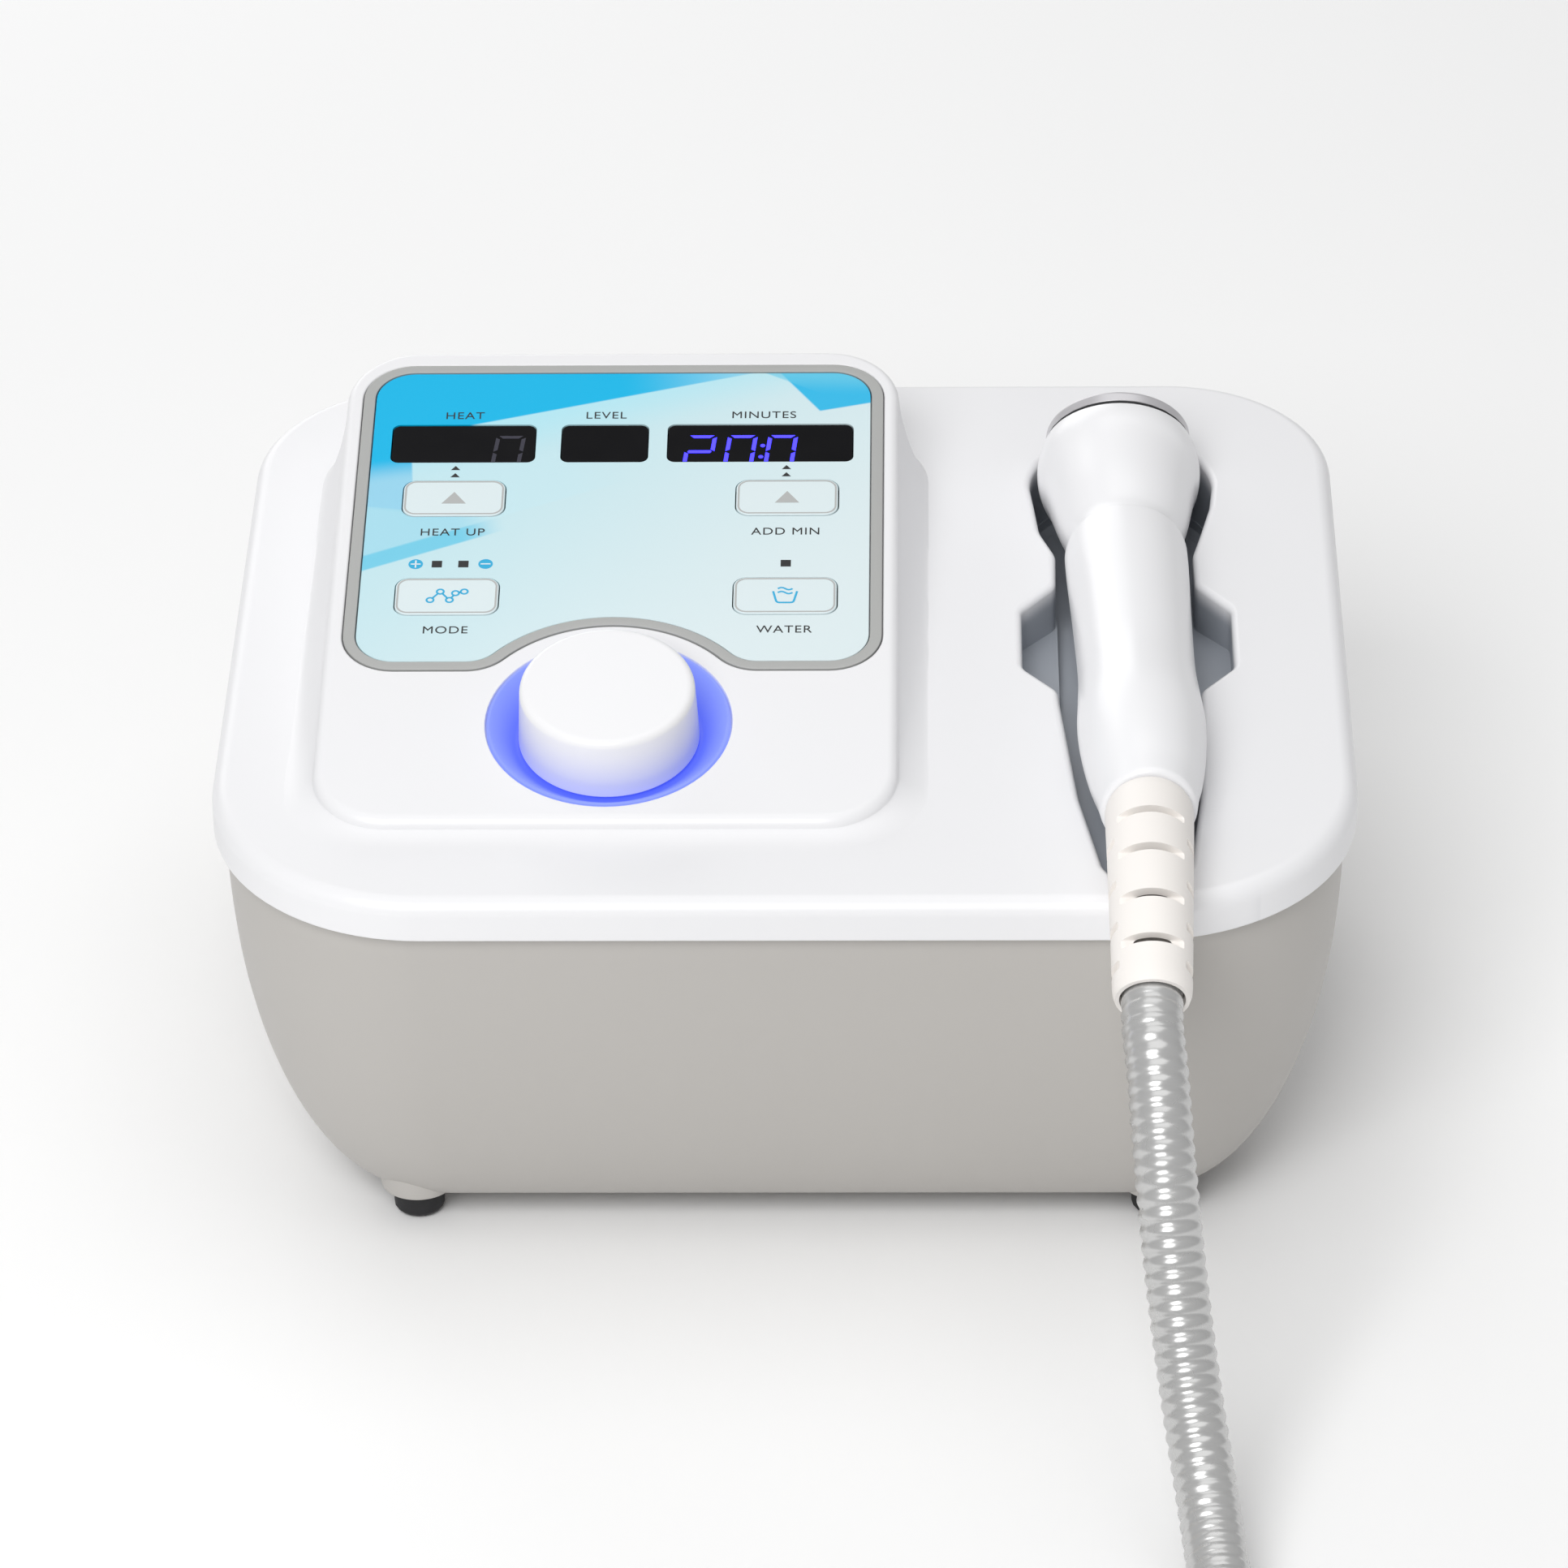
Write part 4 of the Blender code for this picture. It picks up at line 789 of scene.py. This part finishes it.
def console_rings():
    """A rounded shoulder, then a drafted side that runs out into the lid."""
    shoulder, spread = 3.0, 9.0
    rings = [console_ring(shoulder * (across - 1), 1.0, shoulder * down) for across, down in quarter(6)]
    for k in range(1, 17):
        u = k / 16
        rings.append(console_ring(spread * u ** 1.3, (1 - u) ** 1.4, shoulder * (1 - u) ** 1.4))
    rings.append(console_ring(spread, 0.0, 1.6))
    return rings


def cradle_outline():
    """The well, the trough and the finger notches as one outline, front to rear up the right side."""
    right = [(114.0, -131.0), (117.8, -122.0), (121.6, -88.0), (123.4, -38.0), (123.6, -33.0),
             (CRADLE_X + NOTCH_HALF, -20.5), (CRADLE_X + NOTCH_HALF, 10.5), (123.6, 24.0), (123.4, 41.0),
             (126.4, 54.0), (129.4, 68.0)]
    left = [(75.3, 68.0), (76.7, 54.0), (81.4, 41.0), (81.2, 24.0), (CRADLE_X - NOTCH_HALF, 10.5),
            (CRADLE_X - NOTCH_HALF, -20.5), (81.2, -33.0), (81.4, -38.0), (86.2, -88.0), (92.4, -122.0),
            (97.0, -131.0)]
    sides = [0, 8, 60, 20, 6, 7, 7, 7, 10, 20, 20]
    well = arc(CRADLE_X, HEAD.y, WELL_RADIUS, -2, 182, 40)
    return round_corners(right + well + left, sides + [0] * len(well) + list(reversed(sides)), 6)


def trough_outline(inset):
    right_side = [(right - inset, y) for _, right, y in reversed(TROUGH)]
    return right_side + [(left + inset, y) for left, _, y in TROUGH]


def cradle_tray():
    """Walls and floors that hang below the lid, up to just above its middle."""
    made = []
    for name, outline, floor, drop in (
        ("hull", widened(cradle_outline(), WALL + 0.02), NOTCH_FLOOR, 0.0),
        ("trough", widened(trough_outline(0.0), WALL), TROUGH_FLOOR, 0.4),
        ("well", arc(CRADLE_X, HEAD.y, WELL_RADIUS + WALL, 0, 354, 59), WELL_FLOOR, 0.8),
    ):
        top = [(x, y, lid_middle(y) + 1.5 - drop) for x, y in outline]
        made.append(raw(f"tray_{name}", loft([top] + levels(outline, floor - WALL))))
    return made


def cradle_cutters():
    opening = mouth(cradle_outline(), NOTCH_FLOOR, lambda x, y: lid_top(y), 2.2, CRADLE_TOP)
    high, radius = CRADLE_TOP - 1, WELL_RADIUS - 0.3
    well = lathe([(0.0, high), (radius, high), (radius, WELL_FLOOR + 2), (radius - 2.0, WELL_FLOOR),
                  (0.0, WELL_FLOOR)])
    left, right, floor = CHANNEL
    channel = block((left, right), (-150.0, -124.0), (floor, 160.0))
    return (
        raw("mouth", opening),
        raw("trough", prism(trough_outline(0.4), TROUGH_FLOOR, 150.0)),
        raw("well", well, Matrix.Translation((CRADLE_X, HEAD.y, 0))),
        ease(raw("lip_channel", channel), 2.0, 3),
    )


def build_top():
    top = raw("lid_and_console", loft(lip_rings()))
    join(top, raw("wedge", loft(console_rings())), *cradle_tray())
    void = loft([lid_ring(9.0, 3.3), lid_ring(5.2, 2.4), lid_ring(WALL, 0.0), lid_ring(WALL, -9.0)])
    console_void = loft([console_ring(-4.5, 1.0, CONSOLE_SKIN), console_ring(-2.0, 0.9, 6.0),
                         console_ring(1.5, 0.3, 5.0), console_ring(2.5, 0.0, 5.0)])
    jacket = loft(levels(widened(cradle_outline(), WALL), CRADLE_TOP, WELL_FLOOR - WALL))
    inside = raw("void", void)
    join(inside, raw("console_void", console_void))
    cut(inside, raw("jacket", jacket))
    hollow = settle(inside)
    cut(top, hollow, *cradle_cutters())
    recess = mouth(panel_outline(0.0), -PANEL_RECESS, lambda x, y: 0.0, 0.6, 12.0, 4)
    wide, narrow = RING_RADIUS + 0.4, RING_BODY_RADIUS + 0.4
    seat = [(0.0, 12.0), (wide + 0.6, 12.0), (wide + 0.6, 0.0), (wide + 0.22, -0.15), (wide, -0.6),
            (wide, -2.5), (0.0, -2.5)]
    hole = [(0.0, 11.0), (narrow, 11.0), (narrow, -14.0), (0.0, -14.0)]
    cut(
        top,
        raw("panel_recess", recess, CONSOLE),
        raw("panel_opening", prism(panel_outline(8.0), -14.0, 11.0), CONSOLE),
        raw("ring_seat", lathe(seat), KNOB),
        raw("ring_hole", lathe(hole), KNOB),
    )
    show(top, "shell", "unit", ["top_shell"])


# ---- panel

def panel_outline(inset):
    """The panel's edge in the console's frame: a rounded rectangle whose lower edge arches round the knob."""
    left, right = PANEL_LEFT + inset, PANEL_RIGHT - inset
    bottom, top = PANEL_BOTTOM + inset, PANEL_TOP - inset
    radius = PANEL_RADIUS - inset
    wave = WAVE_RADIUS + inset
    fillet = WAVE_FILLET - inset
    rise = bottom + fillet - KNOB_V
    reach = math.sqrt((wave + fillet) ** 2 - rise ** 2)
    lean = math.degrees(math.atan2(rise, reach))
    return (
        arc(right - radius, top - radius, radius, 0, 90, 12)
        + arc(left + radius, top - radius, radius, 90, 180, 12)
        + arc(left + radius, bottom + radius, radius, 180, 270, 12)
        + arc(KNOB_X - reach, bottom + fillet, fillet, 270, 360 - lean, 10)
        + arc(KNOB_X, KNOB_V, wave, 180 - lean, lean, 30)[1:-1]
        + arc(KNOB_X + reach, bottom + fillet, fillet, 180 + lean, 270, 10)
        + arc(right - radius, bottom + radius, radius, 270, 360, 12)
    )


def build_frame():
    """The grey trim: a band with both edges rounded."""
    edge = ((0.0, -2.2), (0.0, -0.1), (0.12, 0.12), (0.4, 0.2))
    rings = [levels(panel_outline(PANEL_GAP + inset), height)[0] for inset, height in edge]
    rings += [levels(panel_outline(FRAME_WIDTH - inset), height)[0] for inset, height in reversed(edge)]
    trim = outward(loft(rings, ring_shape=True))
    show(raw("panel_trim", trim, CONSOLE), "silver_trim", "unit", ["panel_frame"])


def build_film():
    sheet = pad(lambda inset: panel_outline(FRAME_WIDTH + PANEL_GAP + inset), -2.2, 0.0, 0.25)
    wide, tall = (size + KEY_GAP for size in KEY_SIZE)
    holes = [rounded_plate(x, WINDOW_V, width, WINDOW_HEIGHT, 2.6) for x, width in WINDOWS.values()]
    holes += [rounded_plate(x, v, wide, tall, 4.3) for x, v in KEYS.values()]
    film = raw("panel_film", sheet, CONSOLE)
    cut(film, *(raw("hole", prism(hole, -9.0, 9.0), CONSOLE) for hole in holes))
    show(film, "overlay", "unit", ["control_panel"])
    for name, (x, width) in WINDOWS.items():
        edge = partial(rounded_plate, x, WINDOW_V, width - 0.6, WINDOW_HEIGHT - 0.6, 2.3)
        pane = raw(f"window_pane_{name}", pad(edge, -1.9, -0.15, 0.25), CONSOLE)
        show(pane, "window", "unit", [f"display_window_{name}"])


def build_keys():
    for name, (x, v) in KEYS.items():
        edge = partial(rounded_plate, x, v, *KEY_SIZE, 4.0)
        cap = raw(f"{name}_keycap", pad(edge, -2.4, 0.35, 0.4, 4), CONSOLE)
        stem = lathe([(0.0, -1.2), (2.4, -1.2), (2.4, -7.8), (0.0, -7.8)], 24)
        join(cap, raw("stem", stem, CONSOLE @ Matrix.Translation((x, v, 0))))
        show(cap, "key", f"{name}_key", [f"{name}_key"])
        line = (edge(0.45), edge(1.0))
        printed(f"{name}_key_outline", "print_grey", [], KEY_PRINT, f"{name}_key", [line], 0.07)


def ribbon(points, width):
    """A flat line of that width through the points, as one outline."""
    half = width / 2
    left, right = [], []
    for k, point in enumerate(points):
        before = Vector(points[max(k - 1, 0)])
        after = Vector(points[min(k + 1, len(points) - 1)])
        along = (after - before).normalized()
        out = Vector((along.y, -along.x)) * half
        right.append(tuple(Vector(point) + out))
        left.append(tuple(Vector(point) - out))
    return right + list(reversed(left))


def printed(name, look, outlines, high, body="unit", bands=(), thick=0.06, slot=None):
    """Thin print on the panel or on a key: outlines, and bands between an outer and an inner outline."""
    bm = bmesh.new()
    for outline in outlines:
        prism(outline, high - thick, high, bm)
    for outer, inner in bands:
        band(outer, inner, high - thick, high, bm)
    slot = slot or ("overlay" if body == "unit" else "key")
    show(raw(name, outward(bm), CONSOLE), look, body, soft=False)


def triangle(x, v, width, height):
    a, b = width / 2, height / 2
    return [(x - a, v - b), (x + a, v - b), (x, v + b)]


def square(x, v, width, height):
    a, b = width / 2, height / 2
    return [(x - a, v - b), (x + a, v - b), (x + a, v + b), (x - a, v + b)]


def ring_band(x, v, outer, inner):
    return arc(x, v, outer, 0, 345, 23), arc(x, v, inner, 0, 345, 23)


def word(name, text, x, v):
    """A label, built at size 1, where the letters' outlines stay clean, and scaled."""
    curve = bpy.data.curves.new(name, "FONT")
    curve.body = text
    curve.extrude = 0.03 / LABEL_SIZE
    curve.space_character = 1.1
    curve.align_x = "CENTER"
    curve.align_y = "CENTER"
    obj = added(name, curve)
    place = CONSOLE @ Matrix.Translation((x, v, 0.03))
    obj.matrix_world = in_metres(place) @ Matrix.Scale(LABEL_SIZE * MM, 4)
    show(obj, "print_black", "unit", soft=False)


def build_print():
    for name, (text, x, v) in LABELS.items():
        word(f"label_{name}", text, x, v)
    marks = [triangle(x, v, 2.8, 1.9) for x in (-102.2, -0.9) for v in (48.2, 44.8)]
    marks += [square(x, LAMP_V, 3.1, 3.0) for x in (-105.7, -97.7, -0.5)]
    printed("panel_marks", "print_black", marks, FILM_PRINT)
    plus, minus = -112.1, -91.0
    printed("sign_discs", "print_cyan", [arc(x, LAMP_V, 2.2, 0, 350, 35) for x in (plus, minus)], FILM_PRINT)
    signs = [square(plus, LAMP_V, 3.0, 0.45), square(plus, LAMP_V + 1.0, 0.45, 1.3),
             square(plus, LAMP_V - 1.0, 0.45, 1.3), square(minus, LAMP_V, 3.0, 0.45)]
    printed("signs", "print_white", signs, FILM_PRINT + 0.03)
    for name in ("temperature", "time"):
        x, v = KEYS[name]
        printed(f"{name}_key_arrow", "print_grey", [triangle(x, v, 7.4, 5.4)], KEY_PRINT, f"{name}_key")


def build_key_icons():
    x, v = KEYS["pulse"]
    knots = [(x + a, v + b) for a, b in ((-4.9, -1.9), (-2.0, 1.9), (0.9, -1.9), (2.6, 1.2), (5.2, 1.9))]
    lines = []
    for start, end in zip(map(Vector, knots), map(Vector, knots[1:])):
        trim = (end - start).normalized() * 1.2
        lines.append(ribbon([start + trim, end - trim], 0.6))
    rings = [ring_band(a, b, 1.35, 0.75) for a, b in knots]
    printed("pulse_key_icon", "print_cyan", lines, KEY_PRINT + 0.01, "pulse_key", rings)

    x, v = KEYS["fill"]
    cup = [(x - 3.6, v + 1.7), (x - 2.5, v - 3.4), (x + 2.5, v - 3.4), (x + 3.6, v + 1.7)]
    icon = [ribbon(round_corners(cup, 1.2, 5, False), 0.65)]
    for rise in (1.1, 2.9):
        wave = [(x - 2.2 + 4.4 * k / 16, v + rise + 0.5 * math.sin(k / 16 * 2 * math.pi)) for k in range(17)]
        icon.append(ribbon(wave, 0.6))
    printed("fill_key_icon", "print_cyan", icon, KEY_PRINT + 0.01, "fill_key")


def digit(x, lit):
    """The lit bars of one seven-segment digit, cut off at the window's lower edge. x is its left side."""
    low, middle = DIGIT_TOP - DIGIT_HEIGHT, DIGIT_TOP - DIGIT_HEIGHT / 2
    floor = WINDOW_V - WINDOW_HEIGHT / 2 + 0.45
    half, bevel, gap = DIGIT_BAR / 2, DIGIT_BAR * 0.6, 0.25
    start, end = gap, DIGIT_WIDTH - gap
    bars = {
        "a": [(start, DIGIT_TOP + half), (end, DIGIT_TOP + half), (end - DIGIT_BAR, DIGIT_TOP - half),
              (start + DIGIT_BAR, DIGIT_TOP - half)],
        "g": [(start, middle), (half, middle - half), (DIGIT_WIDTH - half, middle - half), (end, middle),
              (DIGIT_WIDTH - half, middle + half), (half, middle + half)],
    }
    for upper, lower, across, side in (("f", "e", 0.0, -half), ("b", "c", DIGIT_WIDTH, half)):
        outer, inner = across + side, across - side
        bars[upper] = [(outer, middle + gap), (outer, DIGIT_TOP - gap), (inner, DIGIT_TOP - gap - bevel),
                       (inner, middle + gap + bevel)]
        bars[lower] = [(outer, floor), (outer, middle - gap), (inner, middle - gap - bevel), (inner, floor)]
    return [[(x + a + (b - low) * DIGIT_LEAN, b) for a, b in bars[name]] for name in lit]


def build_digits():
    two, zero = "abge", "abcef"
    lit = digit(-32.4, two) + digit(-19.9, zero) + digit(-7.5, zero)
    lit += [arc(-9.0 + 0.1 * (v - 52.0), v, 0.75, 0, 330, 11) for v in (53.3, 58.6)]
    printed("lit_digits", "digit_light", lit, DIGIT_PRINT, slot="blue_light")
    printed("unlit_digit", "digit_unlit", digit(-91.2, zero), DIGIT_PRINT, slot="window")


def build_knob():
    dish = [(35.2, 0.0), (RING_RADIUS - 0.15, -0.15), (RING_RADIUS, -0.5), (RING_RADIUS, -RING_FLANGE),
            (RING_BODY_RADIUS, -RING_FLANGE), (RING_BODY_RADIUS, DISH_BOTTOM), (5.1, DISH_BOTTOM),
            (5.1, DISH_FLOOR), (27.2, DISH_FLOOR), (28.2, -6.2), (29.2, -5.3), (30.6, -4.0), (32.0, -2.8),
            (33.4, -1.6), (34.4, -0.6), (34.9, -0.1)]
    dish = raw("light_ring_dish", lathe(dish, 96, closed=True), KNOB)
    show(dish, "blue_light", "unit", ["light_ring"], angle=50)
    side = round_corners([(0.0, 14.5), (25.7, 14.5), (26.7, -5.7), (24.3, -5.7)], [0, 2.6, 0.5, 0], 8, False)
    inside = [(23.4, 10.5), (7.0, 10.5), (7.0, -2.4), (3.3, -2.4), (3.3, 8.5), (0.0, 8.5)]
    cap = raw("knob_cap", lathe(side + inside, 96), KNOB)
    show(cap, "handset_white", "intensity_knob", ["intensity_knob"])


# ---- handpiece

def head_profile(grow):
    """The bulb from its pole to its neck, as (radius, distance along the handle)."""
    ball = arc(0.0, 0.0, HEAD_RADIUS + grow, -90, 18, 27)
    return ball + [(radius + grow, along) for radius, along in NECK_PROFILE]


def build_head():
    wall, beyond = 2.4, NECK_END + 9
    head = raw("head_shell", lathe([(0.0, NECK_END)] + head_profile(0.0)[::-1]), HANDPIECE)
    hollow = lathe([(0.0, beyond), (NECK_RADIUS - wall, beyond)] + head_profile(-wall)[-2::-1])
    face = block((-40, 40), (-40, 40), (PLATE_CUT, PLATE_CUT + 40))
    cut(head, raw("hollow", hollow, HANDPIECE), raw("face", face, PLATE))
    ease(head, 0.45, 2, 40)
    show(head, "handset_white", "handpiece", ["handpiece_head_shell"])
    disc = [(0.0, 15.8), (PLATE_RADIUS, 15.8), (PLATE_RADIUS, 12.0), (0.0, 12.0)]
    disc = lathe(round_corners(disc, [0, 1.3, 0.3, 0], 6, False), 96)
    show(raw("treatment_disc", disc, PLATE), "plate", "handpiece", ["treatment_plate"])


def build_grip():
    """A long handle with a soft step at the neck and a soft rim round the boot."""
    profile = [(point.x, point.y) for point in smooth_path([(*point, 0.0) for point in GRIP_PROFILE], 44)]
    front = [(48.3, 16.6)] + arc(50.1, 16.9, 1.8, 180, 92, 7)
    tail = round_corners([profile[-1], (192.7, 13.9), (192.7, 9.0)], [0, 2.6, 0], 7, False)[1:]
    outer = [(r, s) for s, r in reversed(front + profile + tail)]
    wall = 1.9
    bore = [(16.85, 48.3), (16.85, NECK_END + 1.0)] + [(r - wall, s) for s, r in profile[4:-2]]
    bore.append((9.0, 188.5))
    grip = raw("grip_shell", lathe(outer + bore, 80, closed=True), HANDPIECE)
    show(grip, "handset_white", "handpiece", ["handpiece_grip"])


def relief_points():
    """The boot's middle line: an arc that droops from the handle's line to the hose's."""
    start, end = RELIEF_DROOP
    bend = RELIEF_LENGTH / (end - start)
    points = []
    for k in range(RELIEF_STEPS + 1):
        share = k / RELIEF_STEPS
        angle = start + (end - start) * share
        points.append(Vector((
            TAIL.x - 0.9 * share,
            TAIL.y - bend * (math.sin(angle) - math.sin(start)),
            TAIL.z - bend * (math.cos(start) - math.cos(angle)),
        )))
    return points


def relief_radius(share):
    first, last = RELIEF_RADII
    return first + (last - first) * share


def build_relief():
    """The boot: a tapered sleeve with an open rim, and slots that alternate between its top and its sides."""
    path = relief_points()
    radii = [relief_radius(k / RELIEF_STEPS) for k in range(RELIEF_STEPS + 1)]
    radii[-1] -= 0.7
    radii[-2] -= 0.12
    radii[0] -= 0.3
    sleeve = [path[0].lerp(path[1], 0.16)] + path[1:]
    boot = raw("boot", sweep(sleeve, radii, 56, [9.15] * RELIEF_STEPS + [9.4]))

    def slot(name, share, x, y):
        k = round(share * RELIEF_STEPS)
        place = frame_along(path[k], (path[k + 1] - path[k - 1]).normalized())
        cut(boot, ease(raw(name, block(x, y, (-1.5, 1.5)), place), 0.7, 3))

    for share in (0.20, 0.41, 0.62, 0.83):
        radius = relief_radius(share)
        slot("top_slot", share, (-14, 14), (radius * 0.64, radius + 4))
    for share in (0.305, 0.515, 0.725, 0.90):
        radius = relief_radius(share)
        for side in (-1, 1):
            slot("side_slot", share, sorted((side * radius * 0.80, side * (radius + 4))), (-7.0, 7.0))
    ease(boot, 0.3, 2, 35)
    return show(boot, "relief_white", "handpiece", ["strain_relief"])


# ---- hose

def eased_share(value, start, length):
    """0 before start and 1 after its length, with a smooth step between."""
    share = min(1.0, max(0.0, (value - start) / length))
    return share * share * (3 - 2 * share)


def hose_path():
    """The hose's middle line, from inside the boot, down to the table and twice round its coil."""
    middle = relief_points()
    out = (middle[-1] - middle[-2]).normalized()
    route = [middle[-1] + out * reach for reach in (-14.0, -4.0, 9.3)] + list(HOSE_ROUTE)
    x, y = COIL_CENTRE
    for turn in range(0, 709, 12):
        climb = eased_share(turn, 270.0, 68.0) + eased_share(turn, 630.0, 68.0)
        height = HOSE_LOW + 2 * HOSE_RADIUS * climb
        height += (CONNECTOR_HEIGHT - HOSE_LOW - 4 * HOSE_RADIUS) * eased_share(turn, 640.0, 68.0)
        angle = -math.radians(turn)
        route.append((x + COIL_RADIUS * math.cos(angle), y + COIL_RADIUS * math.sin(angle), height))
    route += [(x + COIL_RADIUS, y, CONNECTOR_HEIGHT), (x + COIL_RADIUS, y - 8.0, CONNECTOR_HEIGHT)]
    return smooth_path(route, pitch=HOSE_PITCH / len(HOSE_WAVE))


def build_connector():
    half, radius = CONNECTOR_LENGTH / 2, CONNECTOR_RADIUS
    plug = [
        (0.0, 0.0), (7.8, 0.0), (8.5, 0.7), (8.5, 4.0), (7.9, 4.5), (7.9, 6.0), (8.5, 6.5), (8.5, 12.0),
        (radius - 1.6, 12.0), (radius - 0.2, 12.8), (radius, 13.6), (radius, 25.6), (radius - 0.4, 26.6),
        (radius - 1.4, 27.2), (radius - 1.4, 42.0),
    ]
    for k in range(5):
        near, size = 43.0 + 3.6 * k, radius - 1.5 - 0.3 * k
        plug += [(size, near), (size, near + 2.2), (size - 1.1, near + 2.5), (size - 1.1, near + 3.4)]
    plug += [(10.2, 61.4), (9.8, CONNECTOR_LENGTH), (0.0, CONNECTOR_LENGTH)]
    x, y = COIL_CENTRE
    middle = Matrix.Translation((x + COIL_RADIUS, y - half, CONNECTOR_HEIGHT))
    at = middle @ Matrix.Rotation(math.pi / 2, 4, "X")
    connector = raw("connector_body", lathe([(size, half - down) for size, down in plug], 64), at)
    for k in range(16):
        turn = Matrix.Rotation(2 * math.pi * k / 16, 4, "Z")
        groove = block((radius - 0.5, radius + 2), (-0.6, 0.6), (half - 24.4, half - 14.8))
        cut(connector, raw("groove", groove, at @ turn))
    return show(connector, "black_plastic", "unit", ["hose_connector"])


def build_hose(boot):
    path = hose_path()
    steps = len(HOSE_WAVE)
    radii = [HOSE_GROOVE + (HOSE_RADIUS - HOSE_GROOVE) * HOSE_WAVE[k % steps] for k in range(len(path))]
    hose = raw("corrugated_hose", sweep(path, radii, 26))
    hose = show(hose, "hose", None, ["handpiece_hose", "hose_coil"], angle=80)
    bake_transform(hose)
    connector = build_connector()


# ---- rear, inside and small parts

def screw_head(name, at, radius=2.6):
    """A pan head with a cross recess, looking out along the frame's Z."""
    profile = [(0.0, 1.5), (radius * 0.55, 1.4), (radius * 0.85, 1.1), (radius, 0.5), (radius, 0.0),
               (0.0, 0.0)]
    head = raw(name, lathe(profile, 32), at)
    for wide, tall in ((radius * 0.62, 0.28), (0.28, radius * 0.62)):
        cut(head, raw("recess", block((-wide, wide), (-tall, tall), (0.6, 3.0)), at))
    show(head, "steel", "unit")


def build_rear():
    for node, look, *edge in (
        ("rear_plate", "steel", 0.3), ("vent_grille", "black_plastic", 0.35),
        ("inlet_module", "black_plastic", 0.5, 3), ("fuse_drawer", "black_plastic", 0.35),
        ("power_rocker", "black_plastic", 0.5, 3), ("filler_port", "white_abs", 0.4),
        ("filler_cap", "white_abs", 0.5), ("hose_socket", "black_plastic", 0.4),
    ):
        eased_copy(node, look, *edge)
    places = [(x, z) for x in (-110.0, -36.0, 18.0, 110.0) for z in (44.5, 104.5)]
    for number, (x, z) in enumerate(places):
        place = Matrix.Translation((x, PLATE_FACE + 0.05, z)) @ Matrix.Rotation(-math.pi / 2, 4, "X")
        screw_head(f"plate_screw_{number}", place)
    x, z = INLET
    for number, (px, pz) in enumerate(((0.0, -13.6), (-7.0, -18.6), (7.0, -18.6))):
        pin = block((x + px - 1.15, x + px + 1.15), (121.3, 135.2), (z + pz - 2.15, z + pz + 2.15))
        show(ease(raw(f"mains_pin_{number}", pin), 0.6, 3), "brass", "unit")


def build_small_parts():
    corners = [f"{end}_{side}" for end in ("front", "rear") for side in ("left", "right")]
    for corner in corners:
        eased_copy(f"foot_{corner}", "rubber", 0.3)
    eased_copy("fan_frame", "black_plastic", 0.4)
    eased_copy("fan_rotor", "black_plastic", 0.4)
    looks = {
        "circuit_board": ["display_board", "main_board"],
        "black_plastic": ["encoder_body", "encoder_plunger", "pump_body", "pump_cover"]
        + [f"led_display_{name}" for name in WINDOWS] + [f"{name}_switch" for name in KEYS],
        "steel": ["encoder_shaft", "pump_impeller"] + [f"foot_screw_{corner}" for corner in corners],
        "aluminium": ["radiator", "power_supply", "cooling_block"],
        "clear_tank": ["water_tank"],
        "tube": ["delivery_tube"],
        "relief_white": ["thermoelectric_module"],
        "rubber": ["plate_seal"],
    }
    for look, names in looks.items():
        for name in names:
            for slot in frame["nodes"][name].material_slots:
                slot.material = LOOKS[look]


# ---- stage

def build_stage():
    ground = raw("ground", prism(square(0.0, 0.0, FLOOR_SIZE, FLOOR_SIZE), -4.0, -0.4))
    nodes = Nodes("ground_paper")
    nodes.shade(Base_Color=nodes.mix(nodes.noise(3.0), rgba((0.95,) * 3), rgba((0.97,) * 3)), Roughness=0.9)
    ground.data.materials.append(nodes.material)

    world = bpy.data.worlds.new("studio")
    world.use_nodes = True
    sky = world.node_tree.nodes["Background"].inputs
    sky["Color"].default_value = rgba((1.0, 1.0, 1.0))
    sky["Strength"].default_value = SKY_STRENGTH
    bpy.context.scene.world = world
    for name, (place, size, energy) in LIGHTS.items():
        light = bpy.data.lights.new(name, "AREA")
        light.size = size
        light.energy = energy
        lamp = added(name, light)
        lamp.location = place
        lamp.rotation_euler = (LIT_POINT - Vector(place)).to_track_quat("-Z", "Y").to_euler()


def build_camera():
    ahead = CAMERA_AHEAD.normalized()
    right = (CAMERA_RIGHT - ahead * CAMERA_RIGHT.dot(ahead)).normalized()
    camera = bpy.data.cameras.new("camera")
    camera.lens = CAMERA_LENS
    camera.sensor_width = 36.0
    camera.clip_end = 50.0
    holder = added("camera", camera)
    holder.matrix_world = Matrix.Translation(CAMERA_PLACE * MM) @ axes(right, right.cross(ahead), -ahead)
    bpy.context.scene.camera = holder
    bpy.context.scene.view_settings.view_transform = "Standard"


for startup in list(bpy.data.objects):
    bpy.data.objects.remove(startup, do_unlink=True)
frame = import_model()
LOOKS = make_looks()
build_camera()
build_stage()
build_hose(build_relief())
build_tub()
build_top()
build_frame()
build_film()
build_keys()
build_print()
build_key_icons()
build_digits()
build_knob()
build_head()
build_grip()
build_rear()
build_small_parts()
